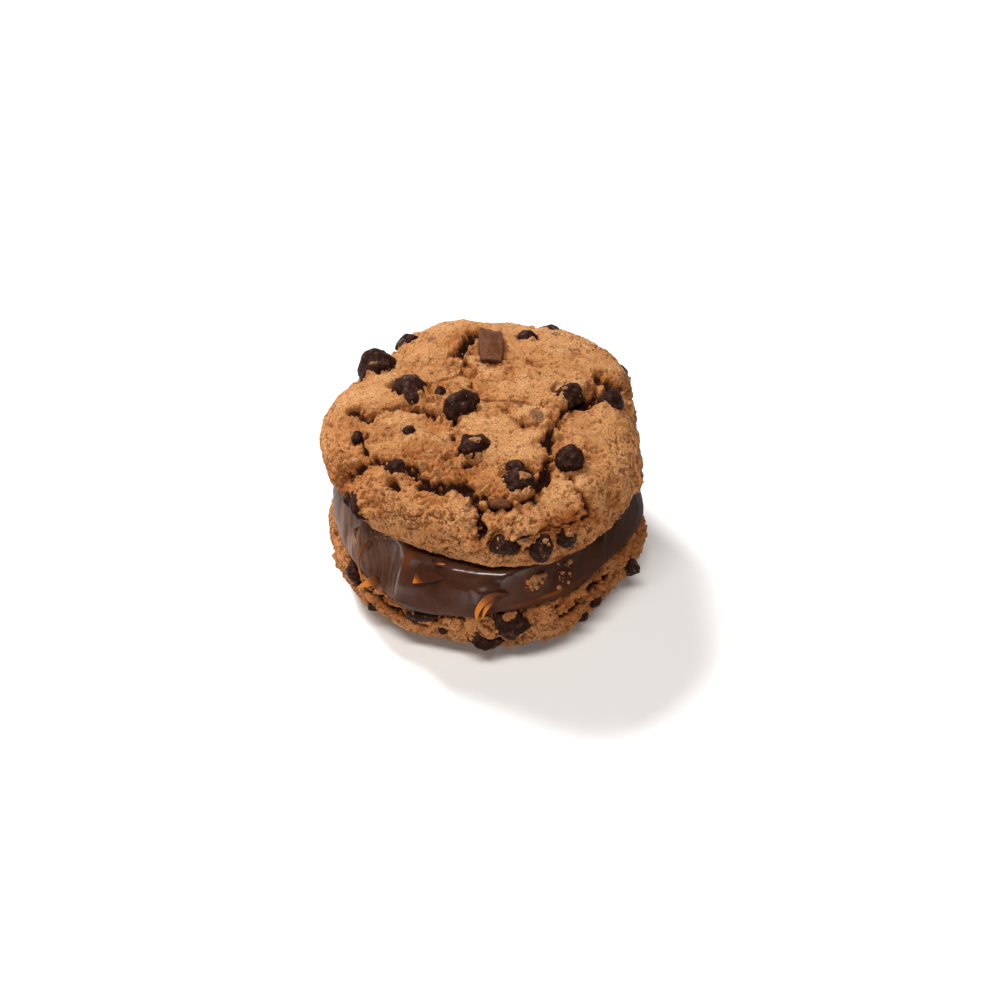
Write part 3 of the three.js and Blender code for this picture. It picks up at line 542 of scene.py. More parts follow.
LOWER = {
    "name": "lower",
    "radius": 36.5,
    "shift": [-0.9, 0.7],
    "lobes": [[2, 1.4, -80], [3, 0.5, -12], [4, 0.4, 32], [5, 0.9, -13], [6, 0.9, -4]],
    "dome_down": True,
    "flat_height": COOKIE_THICK,
    # path, how wide, how deep, and how far the dough to its left is lifted
    "cracks": [
        ([(220, 43), (229, 42.5), (238, 41)], 1.4, 1.1, 0.2),
        ([(298, 42), (308, 42.5), (316, 44), (322, 43)], 1.7, 1.4, 0.2),
        ([(190, 36), (196, 41), (193, 46)], 1.3, 1.1, 0.2),
        ([(346, 38), (343, 42), (347, 46)], 1.4, 1.3, 0),
        ([(80, 37), (76, 41), (79, 45)], 1.5, 1.4, 0.2),
        ([(0, 22), (40, 26), (85, 23), (130, 26), (175, 23), (220, 25), (270, 21)], 1.8, 1.8, 0),
        ([(20, 24), (48, 13), (84, 15), (110, 22)], 1.4, 1.2, 0),
        ([(222, 15), (275, 15), (290, 27), (288, 35)], 1.5, 1.3, 0),
        ([(130, 26), (135, 32), (131, 38)], 1.5, 1.4, 0),
    ],
    # broad mounds and hollows: angle, reach, how far across, and height
    "ground": [
        (230, 30, 14, -0.5), (60, 31, 14, -0.6), (330, 30, 12, -0.5), (308, 39, 8, -0.8),
        (265, 41, 12, 0.5),
    ],
    # crumbly places, smears of caramel, and patches of chocolate: angle, reach, how far across, how strong
    "crumbly": [
        (300, 44, 10, 0.9), (315, 43, 12, 0.9), (335, 42, 12, 0.7), (225, 42, 9, 0.5), (350, 44, 12, 0.6),
    ],
    "smears": [(335, 47, 7, 0.8), (352, 46, 8, 0.7), (233, 45, 5, 0.5), (300, 47, 5, 0.5)],
    "patches": [(290, 38, 2.4, 0.8), (120, 20, 3.4, 0.8), (20, 38, 2.6, 0.7)],
    # torn holes: angle, reach, how far across, and depth
    "holes": [
        (230, 43.5, 1.6, 1.2), (296, 45, 2.2, 1.2), (305, 44, 1.8, 1.3), (316, 42.5, 2.4, 1.4),
        (326, 42, 1.8, 1.2), (344, 43.6, 2.2, 1.3), (210, 45.4, 1.6, 1.0), (192, 44, 1.8, 1.2),
    ],
    # chips: angle, reach, lift of the middle, wide, long, high, and what else marks a chip out
    "chips": [
        (246, 43.1, -1.1, 8.8, 4.2, 4.2, {"ragged": 1.5}),
        (278, 43.6, -1.1, 9.4, 7.4, 5.2, {"ragged": 1.8}),
        (269.5, 38.3, -0.8, 8.0, 4.2, 4.4, {"ragged": 1.5}),
        (338, 38.4, -0.3, 5.0, 4.2, 4.2),
        (214, 43.8, -0.9, 3.8, 5.8, 3.8),
        (24, 40, -1.2, 6.0, 5.4, 4.6),
        (92, 40, -1.2, 6.8, 5.8, 4.8),
        (152, 41, -1.1, 5.8, 5.2, 4.4),
        (30, 29, -1.6, 6.6, 6.2, 5.2),
        (108, 26, -1.9, 6.2, 6.0, 5.0),
        (165, 30, -1.4, 6.8, 6.0, 5.0),
        (238, 26, -1.9, 6.4, 6.2, 5.2),
        (318, 28, -1.7, 6.4, 6.0, 5.0),
    ],
    "pitted": 0.5,
    "sandy": 0.9,
}
# how far apart the mesh's points are: few on the flat side, which the caramel hides
PLAIN_STEP = 5
UNDERSIDE_STEP, UNDERSIDE_REACH = 0.6, 20
RIM_STEP = 0.34
plain_rings = even_rings(HEEL_REACH, FULL_REACH - 4, PLAIN_STEP, lambda at: 20)


def crust_radius(at):
    """Distance of the skin from the cookie's axis, so far along the surface."""
    return RADIUS * float(np.interp(at, SECTION_REACH, SECTION_SHARE))


lower_rings = (even_rings(0, UNDERSIDE_REACH, UNDERSIDE_STEP, crust_radius)
               + even_rings(UNDERSIDE_REACH, HEEL_REACH, RIM_STEP, crust_radius) + plain_rings)
bake_cookie(LOWER, lower_rings, dough)

# The lower cookie's chocolate chips: dark drops, half sunk in the dough before it was baked.
# Each is a lumpy dome with a blunt tip and a flatter base, softened in the oven and set again.
BASE_FLATNESS = 0.8
TIP_RISE = 0.22
CHIP_LUMPS = 0.11
FLAT_COUNT = 6
FLAT_DEPTHS = (0.76, 0.94)  # how near the middle each flat lies, as a share of the chip's half size
FLAT_EDGE = 0.035  # how soft its edge is


def ball(level):
    """Points and triangles of a unit ball."""
    shape = bmesh.new()
    bmesh.ops.create_icosphere(shape, subdivisions=level, radius=1)
    points = np.array([v.co for v in shape.verts])
    faces = [[v.index for v in face.verts] for face in shape.faces]
    shape.free()
    return points, faces


def upright(outward, turn=0.0, lean=0.0):
    """Rotation that stands +Z along a direction, leant to the front and turned round itself, in degrees."""
    direction = Vector(outward)
    direction.y -= np.sin(radians(lean))
    stand = Vector((0, 0, 1)).rotation_difference(direction.normalized()).to_matrix()
    return np.array(stand @ Matrix.Rotation(radians(turn), 3, "Z"))


def extras(chip):
    """What marks a chip out from a plain drop."""
    return {"turn": 0, "lean": 0, "square": 0, "tip": TIP_RISE, "ragged": 1, **dict(*chip[6:])}


def chip_points(cookie, seed, directions, chip):
    """A chip's surface; its middle stands off the broad ground by its lift."""
    angle, reach, lift, wide, long, high = chip[:6]
    extra = extras(chip)
    middle, outward = place_on(cookie, angle, reach)
    middle = middle + (lift + ground_height(cookie, middle[None])[0]) * outward
    widest = np.abs(directions).max(axis=1)
    lump = 1 + CHIP_LUMPS * lumps(directions + seed * 5.3, 0.9)
    points = directions * (lump / widest ** extra["square"])[:, None]
    # flats where it was pressed against its neighbours in the bag
    rng = np.random.default_rng(100 + seed)
    flats = unit(rng.normal(size=(FLAT_COUNT, 3)))
    for flat, depth in zip(flats, rng.uniform(*FLAT_DEPTHS, FLAT_COUNT)):
        beyond = FLAT_EDGE * np.logaddexp(0, (points @ flat - depth) / FLAT_EDGE)
        points = points - (0.85 * beyond)[:, None] * flat
    dents = 0.08 * lumps(directions + seed, 0.5) + 0.05 * lumps(directions + seed, 0.22)
    dents = extra["ragged"] * (dents + 0.022 * lumps(directions + seed, 0.1))
    points = points + dents[:, None] * directions
    rise = 1 + extra["tip"] * (1 - extra["square"]) * (1 - np.hypot(points[:, 0], points[:, 1]))
    points[:, 2] *= np.where(points[:, 2] < 0, BASE_FLATNESS, rise)
    points *= np.array([wide, long, high]) / 2
    return points @ upright(outward, extra["turn"], extra["lean"]).T + middle


def scuffing():
    """Shader group: chocolate that rubbed against other chips, with worn patches, dust and fine dents."""
    group = bpy.data.node_groups.new("scuffing", "ShaderNodeTree")
    inputs = {"Place": "Vector", "Deep Colour": "Color", "Worn Colour": "Color", "Scuffs": "Float",
              "Roughness": "Float"}
    outputs = {"Colour": "Color", "Roughness": "Float", "Height": "Float"}
    for side, sockets in (("INPUT", inputs), ("OUTPUT", outputs)):
        for name, kind in sockets.items():
            group.interface.new_socket(name, in_out=side, socket_type=f"NodeSocket{kind}")
    given = group.nodes.new("NodeGroupInput").outputs
    place = given["Place"]
    wear = ramp(group, clouds(group, place, 1.4, 5, 0.7), 0.48, 0.72)
    colour = mixed(group, times(group, wear, given["Scuffs"]), given["Deep Colour"], given["Worn Colour"])
    uneven = ramp(group, clouds(group, place, 0.7, 3), 0.3, 0.7, -0.1, 0.15)
    dents = times(group, clouds(group, place, 1.8, 2), 1.5)
    made = {
        "Colour": mixed(group, specks(group, place, 0.8, 0.1, 0.2, 0.08), colour, rgb(150, 100, 66)),
        "Roughness": maths(group, "ADD", uneven, given["Roughness"]),
        "Height": maths(group, "ADD", dents, clouds(group, place, 0.5, 3)),
    }
    result = group.nodes.new("NodeGroupOutput").inputs
    for name, value in made.items():
        group.links.new(value, result[name])
    return group


scuffed = scuffing()


def chocolate(name, deep_colour, worn_colour, roughness, scuffs):
    """Chocolate with a dull gloss, scuffed and dusted."""
    material, tree, place, shader = plain_material(
        name, Specular_IOR_Level=0.07, Specular_Tint=(1.0, 0.74, 0.62, 1))
    worn = node(tree, "Group", {"node_tree": scuffed}, Place=place, Deep_Colour=deep_colour,
                Worn_Colour=worn_colour, Scuffs=scuffs, Roughness=roughness).outputs
    lay_finish(tree, shader, worn["Colour"], worn["Roughness"], worn["Height"], 0.3, 0.9)
    return material


chocolates = {"dark_chocolate": chocolate("dark chocolate", rgb(34, 15, 10), rgb(98, 69, 56), 0.45, 0.6)}
chip_ball = ball(5)


def set_chip(cookie, name, nodes, seed, chip, lump):
    """One chip or bit: dark, or of milk chocolate where it broke off square."""
    directions, faces = lump
    points = chip_points(cookie, seed, directions, chip)
    points[:, 2] = np.maximum(points[:, 2], 0)
    kind = "milk_chocolate" if extras(chip)["square"] else "dark_chocolate"
    make_piece(name, points, faces, chocolates[kind], nodes)


def set_chips(cookie):
    """All the chips of a cookie, each in the place of its own CAD node."""
    for seed, chip in enumerate(cookie["chips"]):
        name = f"{cookie['name']}_chip_{seed + 1}"
        set_chip(cookie, f"set_{name}", [name], seed, chip, chip_ball)


set_chips(LOWER)

# The caramel: a thick layer of milk caramel, spread cold on the flat side, whose lip sags over the edge.
# Its side keeps the pulls and folds of the knife, and slender wisps stand off it, with the light through
# them painted orange.
GAP = 0.3  # between the caramel and each cookie
TOP_EDGE = 0.885  # how far out its upper edge lies, as a share of the upper cookie's radius
HIDDEN_CLEAR = 0.5  # between the lip and the side of the lower cookie
FULLEST = 0.71  # share of the fall at which the side bulges most

UPPER = {
    "name": "upper",
    "radius": 35.9,
    "shift": [0.2, 0.3],
    "lobes": [[2, 0.5, 86], [3, 1.3, -55], [4, 0.6, 26], [5, 0.7, -33], [6, 0.6, -15]],
    "dome_down": False,
    "flat_height": COOKIE_THICK + CARAMEL_THICK,
}
# Round the rim, as (degrees, mm): how far the lip hangs down, how far the side bulges, and how far the top
# steps out below the upper cookie before the side falls away
SAG = [(0, 1.2), (70, 0.8), (140, 1.2), (185, 0.8), (222, 1.3), (246, 2.9), (262, 2.3), (276, 0.9),
       (290, 0.5), (318, 0.9)]
SWELL = [(0, 1.5), (70, 2.4), (130, 1.8), (190, 1.2), (222, 1.5), (250, 2.4), (270, 2.0), (292, 0.8),
         (320, 0.8)]
SHOULDER = [(0, 0.6), (90, 1.2), (190, 0.6), (215, 0.3), (228, 0.2), (241, 2.6), (256, 3.0), (274, 2.8),
            (284, 1.0), (300, 0.3)]
SHOULDER_FALL = 0.04

# Pulled folds: angle, spread in degrees before and after it, share of the fall, spread above and below it,
# and how far the fold rises or sinks
FOLDS = [
    # scoop of the knife, and the ridge that it pushed up
    (230, 9, 4, 0.55, 0.5, 0.6, -2.6), (238.5, 2.0, 7, 0.5, 0.6, 0.7, 1.7), (221, 3, 3, 0.5, 0.4, 0.4, 0.8),
    # pillow with a sheen below the shoulder, and the crease beside it
    (268, 8, 6, 0.36, 0.09, 0.25, 1.1), (264.5, 1.0, 1.4, 0.42, 0.12, 0.12, -0.7),
    (214, 3, 3, 0.5, 0.4, 0.4, 0.9), (207, 2, 3, 0.5, 0.4, 0.4, -0.6),
    # right of the front the caramel lies further in, over a ledge
    (297, 14, 18, 0.4, 0.3, 0.28, -2.0), (294, 20, 20, 0.86, 0.06, 0.3, 1.0),
    (288, 4, 5, 0.5, 0.1, 0.12, 1.0), (318, 6, 3, 0.4, 0.5, 0.4, 1.4), (305, 2, 3, 0.4, 0.3, 0.2, 0.6),
    # low folds round the back
    (20, 10, 10, 0.5, 0.3, 0.3, 0.7), (75, 12, 12, 0.3, 0.2, 0.2, 0.9), (120, 9, 9, 0.6, 0.3, 0.3, -0.7),
    (165, 7, 7, 0.5, 0.4, 0.4, 0.7),
]


def round_table(rows, angle):
    """Value read between rows of (degrees, value) round the circle."""
    degrees = np.degrees(angle) % 360
    whole = rows + [(rows[0][0] + 360, rows[0][1])]
    value = np.zeros(len(degrees))
    for (before, start), (after, end) in zip(whole, whole[1:]):
        here = (degrees >= before) & (degrees < after)
        value = np.where(here, start + (end - start) * smooth(degrees, before, after), value)
    return value


def fold_rise(angle, fall):
    """How far the folds stand out at each place on the side."""
    rise = np.zeros(len(angle))
    for middle, before, after, at, above, below, height in FOLDS:
        turned = (np.degrees(angle) - middle + 180) % 360 - 180
        sideways = turned / np.where(turned < 0, before, after)
        downwards = (fall - at) / np.where(fall < at, above, below)
        rise += height * np.exp(-sideways ** 2 - downwards ** 2)
    return rise


def heel_radius(cookie, angle, depth):
    """Radius of a cookie's side so many millimetres from its flat side."""
    a = np.arccos(np.clip(1 - depth / WAIST, -1, 1))
    return (1 - HEEL * (1 - np.sin(a))) * outline_radius(cookie, angle)


def caramel_side(angle, fall):
    """The side: fall runs from 0 at the upper edge to 1 at the lip."""
    sag = round_table(SAG, angle)
    top_height = COOKIE_THICK + CARAMEL_THICK - GAP
    lip_height = COOKIE_THICK + GAP - sag
    top_radius = TOP_EDGE * outline_radius(UPPER, angle)
    lip_radius = heel_radius(LOWER, angle, sag) + HIDDEN_CLEAR
    fullness = (fall / FULLEST) ** 1.1 * ((1 - fall) / (1 - FULLEST)) ** 0.5
    shoulder = round_table(SHOULDER, angle) * (1 - np.exp(-fall / SHOULDER_FALL)) * (1 - fall) ** 1.4
    held = np.minimum(1, np.minimum(6 * fall, 5 * (1 - fall)))
    swell = round_table(SWELL, angle) * fullness + shoulder + held * fold_rise(angle, fall)
    # fine pulls that run slantwise down the side
    slant = np.stack([angle * 34 + 7 * fall, angle * 9 + 5 * fall, 3 * fall], axis=1)
    pulls = 0.16 * lumps(slant, 2.6) + 0.07 * lumps(slant * np.array([1, 1, 0.3]), 0.9)
    radius = top_radius + (lip_radius - top_radius) * fall + swell + held * pulls
    height = top_height + (lip_height - top_height) * fall
    return swung(radius, angle, height)


def caramel_surface(angle, station):
    """Stations of the section: the top from 0, the side from 1, under the lip from 2, the base from 3."""
    across = np.stack([station, station, np.ones(len(angle))], axis=1)
    top = caramel_side(angle, np.zeros(len(angle))) * across
    side = caramel_side(angle, np.clip(station - 1, 0, 1))
    depth = round_table(SAG, angle) * np.clip(3 - station, 0, 1)
    under = swung(heel_radius(LOWER, angle, depth) + HIDDEN_CLEAR, angle, COOKIE_THICK - depth + GAP)
    base = swung((1 - HEEL) * outline_radius(LOWER, angle) * (4 - station), angle, COOKIE_THICK + GAP)
    where = station[:, None]
    return np.where(where <= 1, top, np.where(where <= 2, side, np.where(where <= 3, under, base)))


SIDE_COUNT = 700
SIDE_ROWS = 56
caramel_rings = [(at, round(SIDE_COUNT * at * at)) for at in (0.2, 0.4, 0.6, 0.8, 0.9, 0.96, 1)]
caramel_rings += [(1.5 - 0.5 * np.cos(pi * (row + 1) / SIDE_ROWS), SIDE_COUNT) for row in range(SIDE_ROWS)]
caramel_rings += [(at, round(0.7 * SIDE_COUNT * min(1, 4 - at))) for at in (2.25, 2.5, 2.75, 3, 3.3, 3.7)]
angles, stations = ring_points(caramel_rings, 4)
caramel_points = caramel_surface(angles, stations)
caramel_faces = ring_faces(caramel_rings)

caramel, tree, place, shader = plain_material(
    "milk caramel", Specular_IOR_Level=0.06, Specular_Tint=(1.0, 0.84, 0.74, 1), Coat_Roughness=0.18,
    Coat_IOR=1.45)
mask = masks_on(tree, "painted_glow", "satin", "wet", "dark")
pulled = node(tree, "Attribute", {"attribute_name": "pull"}).outputs["Vector"]
streaks = node(tree, "TexNoise", Vector=pulled, Scale=10.0, Detail=5.0, Roughness=0.6).outputs["Fac"]
# painted sheen, pale along the knife's streaks
pale = times(tree, ramp(tree, streaks, 0.36, 0.68, 0.2, 0.95), mask["satin"])
colour = layered(tree, rgb(56, 29, 18), {
    "light clouds": (ramp(tree, clouds(tree, place, 5, 3), 0.3, 0.7), rgb(72, 40, 26)),
    # painted shadow on the right side
    "painted shadow on the right": (mask["dark"], rgb(42, 20, 10)),
    "painted sheen on the left": (pale, rgb(158, 124, 104)),
    # painted glow, amber and then orange, as if light came through the caramel
    "light through a fold": (ramp(tree, mask["painted_glow"], 0.0, 0.6), rgb(118, 60, 24)),
    "light through a tip": (ramp(tree, mask["painted_glow"], 0.5, 1.0), rgb(194, 112, 34)),
})
roughness = ramp(tree, clouds(tree, place, 4, 3), 0.35, 0.65, 0.4, 0.55)
roughness = maths(tree, "ADD", roughness, times(tree, mask["dark"], 0.5))
gloss = times(tree, ramp(tree, clouds(tree, place, 2.5, 3), 0.3, 0.55, 0.4, 1.0), mask["wet"])
tree.links.new(gloss, shader.inputs["Coat Weight"])
height = maths(tree, "ADD", clouds(tree, place, 0.6, 3), times(tree, streaks, 1.6))
lay_finish(tree, shader, colour, roughness, height, 0.1, 0.6)

# Wisps: angle, height and distance from the middle where one starts, its points as (along the rim, outward,
# upward), its width and thickness, how it narrows (-1 where it widens), how far its lower edge stands out,
# and the shares of its length between which its painted glow comes in
WISPS = [
    (254.6, 26.2, 35.0, [(0.6, -0.2, -0.3), (-1.8, 0.5, 0.1), (-4.0, 0.9, 0.5), (-6.2, 0.9, 0.9)],
     4.0, 0.6, -1, 1.3, 0.6, 1.05),
    (275.4, 23.2, 36.6, [(0.3, -0.6, -0.4), (-2.0, 1.5, 2.0), (-4.3, 2.2, 1.3), (-5.8, 2.3, -1.5),
                         (-6.1, 1.8, -5.1)], 2.7, 0.8, 0.6, 0, 0.0, 0.8),
    (274.8, 22.6, 36.6, [(0, -0.6, -0.6), (-2.2, 1.3, 0.6), (-3.6, 2.0, -1.0), (-4.4, 2.0, -4.0)],
     1.8, 0.7, 0.6, 0, 0.0, 0.8),
    (221, 26.0, 34.4, [(0, -0.4, 0), (-1.3, 1.2, -2.4), (-1.6, 2.0, -5.4), (-0.4, 2.4, -8.6),
                       (0.4, 2.6, -10.4)], 1.2, 0.8, 0.5, 0, -0.4, 1.3),
    (226.6, 18.4, 36.0, [(0.6, -0.4, 0.3), (-0.6, 1.0, -0.8), (-2.2, 1.8, -2.2), (-4.0, 2.2, -4.2)],
     2.4, 0.7, 0.8, 0, -0.1, 0.6),
    (213, 26.2, 33.4, [(0, -0.4, 0), (-0.8, 1.0, -1.0), (0.4, 1.6, -2.2), (1.6, 1.8, -3.8)],
     0.9, 0.6, 0.5, 0, 0.0, 1.0),
    (252, 28.4, 33.0, [(-1.6, -0.6, -0.2), (-0.6, 1.2, 0.9), (0.6, 1.6, 1.5), (1.6, 1.4, 1.4)],
     1.0, 0.6, 0.5, 0, 0.0, 1.0),
]
WISP_STEPS = 40
WISP_SIDES = 20
WISP_TIP = 0.06
WISP_CURL = 0.25
wisp_turns = 2 * pi * np.arange(WISP_SIDES) / WISP_SIDES


def curve_through(corners, steps):
    """Points of a smooth curve through the corners."""
    corners = np.array(corners, float)
    whole = np.vstack([2 * corners[0] - corners[1], corners, 2 * corners[-1] - corners[-2]])
    found = []
    for t in np.linspace(0, len(corners) - 1, steps):
        i = min(int(t), len(corners) - 2)
        a, b, c, d = whole[i:i + 4]
        s = t - i
        found.append(0.5 * (2 * b + (c - a) * s + (2 * a - 5 * b + 4 * c - d) * s ** 2
                            + (3 * b - a - 3 * c + d) * s ** 3))
    return np.array(found)


def wisp(angle, height, stand, corners, wide, thick, narrowing, tilt):
    """Points and triangles of a ribbon, thicker in the middle and with its edges curled outward."""
    out = np.array([np.cos(radians(angle)), np.sin(radians(angle)), 0])
    along = np.array([-out[1], out[0], 0])
    start = out * stand + np.array([0, 0, height])
    corners = [start + a * along + b * out + np.array([0, 0, c]) for a, b, c in corners]
    centres = curve_through(corners, WISP_STEPS)
    rings = []
    for step, (centre, tangent) in enumerate(zip(centres, unit(np.gradient(centres, axis=0)))):
        left = 1 - step / (WISP_STEPS - 1)
        taper = max(WISP_TIP, left ** narrowing if narrowing > 0 else 1 - left)
        across = np.cross(out, tangent)
        across /= np.linalg.norm(across)
        flat = np.cross(tangent, across)
        sideways = np.cos(wisp_turns) * wide * taper / 2
        outward = np.sin(wisp_turns) * thick * taper / 2 * 0.8 + WISP_CURL * (sideways / (wide / 2)) ** 2
        outward = outward + tilt * sideways / (wide / 2)
        rings.append(centre + sideways[:, None] * across + outward[:, None] * flat)
    points = np.vstack(rings + [centres[-1:], centres[:1]])
    tip, root = len(points) - 2, len(points) - 1
    faces = []
    for step in range(WISP_STEPS - 1):
        for side in range(WISP_SIDES):
            a, b = step * WISP_SIDES + side, step * WISP_SIDES + (side + 1) % WISP_SIDES
            faces += [(a, b, b + WISP_SIDES), (a, b + WISP_SIDES, a + WISP_SIDES)]
    last = (WISP_STEPS - 1) * WISP_SIDES
    for side in range(WISP_SIDES):
        after = (side + 1) % WISP_SIDES
        faces += [(last + side, last + after, tip), (after, side, root)]
    return points, np.array(faces)


# painted light: a highlight along the crest of the ledge right of the front, and a glow on the fold at the
# left, in the amber of light through caramel
dragged = np.degrees(angles)
crest = bell(stations, 1.8, 0.022) * smooth(dragged, 274, 282) * (1 - smooth(dragged, 304, 316))
along_crest = np.stack([angles * RADIUS, stations, angles], axis=1)
fold = bell(dragged, 238.6, 3.0) * bell(stations, 1.12, 0.14)
painted_glow = 0.45 * crest * np.clip(0.75 + 0.8 * lumps(along_crest, 1.6), 0, 1) + 0.32 * fold
# painted sheen in the knife's streaks, mostly on the left
satin = 0.6 * bell(dragged, 208, 14) + 0.35 * bell(dragged, 233, 4) + 0.12 * bell(dragged, 120, 20)
# painted shadow over the right side, which is also duller, where the knife only touched its edge
dark = 0.75 * np.clip(bell(dragged, 322, 24) + 0.9 * bell(dragged, 352, 16), 0, 1)
# smoothed wet over the shoulder and the ridge, dull where crumbs dried it
shoulder = bell(stations, 1.08, 0.14) * smooth(dragged, 226, 240) * (1 - smooth(dragged, 278, 290))
ridge = (bell(dragged, 237, 8) + 0.7 * bell(dragged, 268, 7)) * (1 - smooth(stations, 1.45, 1.75))
wet = np.clip(0.1 + shoulder + ridge, 0, 1) * (1 - 0.9 * bell(dragged, 325, 26))
# the way the knife pulled: round the cookie and steeply down
knife = angles - 0.16 * stations
pull = swung(2.6, knife, 0.12 * stations)
masks = {"painted_glow": painted_glow, "satin": satin, "wet": wet, "dark": dark, "pull": pull}
for *shape, glow_from, glow_to in WISPS:
    points, faces = wisp(*shape)
    share = np.concatenate([np.linspace(0, 1, WISP_STEPS).repeat(WISP_SIDES), [1, 0]])
    # the painted glow is strongest along a wisp's lower edge
    if shape[-1]:
        lower_edge = np.concatenate([np.tile(np.cos(wisp_turns), WISP_STEPS), [0, 0]])
        share = share * (0.75 + 0.35 * lower_edge)
    none = np.zeros(len(points))
    added = {"painted_glow": smooth(share, glow_from, glow_to), "satin": none, "wet": none + 0.1, "dark": none,
             "pull": points / RADIUS}
    masks = {name: np.concatenate([values, added[name]]) for name, values in masks.items()}
    caramel_faces = np.concatenate([caramel_faces, faces + len(caramel_points)])
    caramel_points = np.concatenate([caramel_points, points])
make_piece("spread_caramel", caramel_points, caramel_faces.tolist(), caramel, ["caramel"], masks)

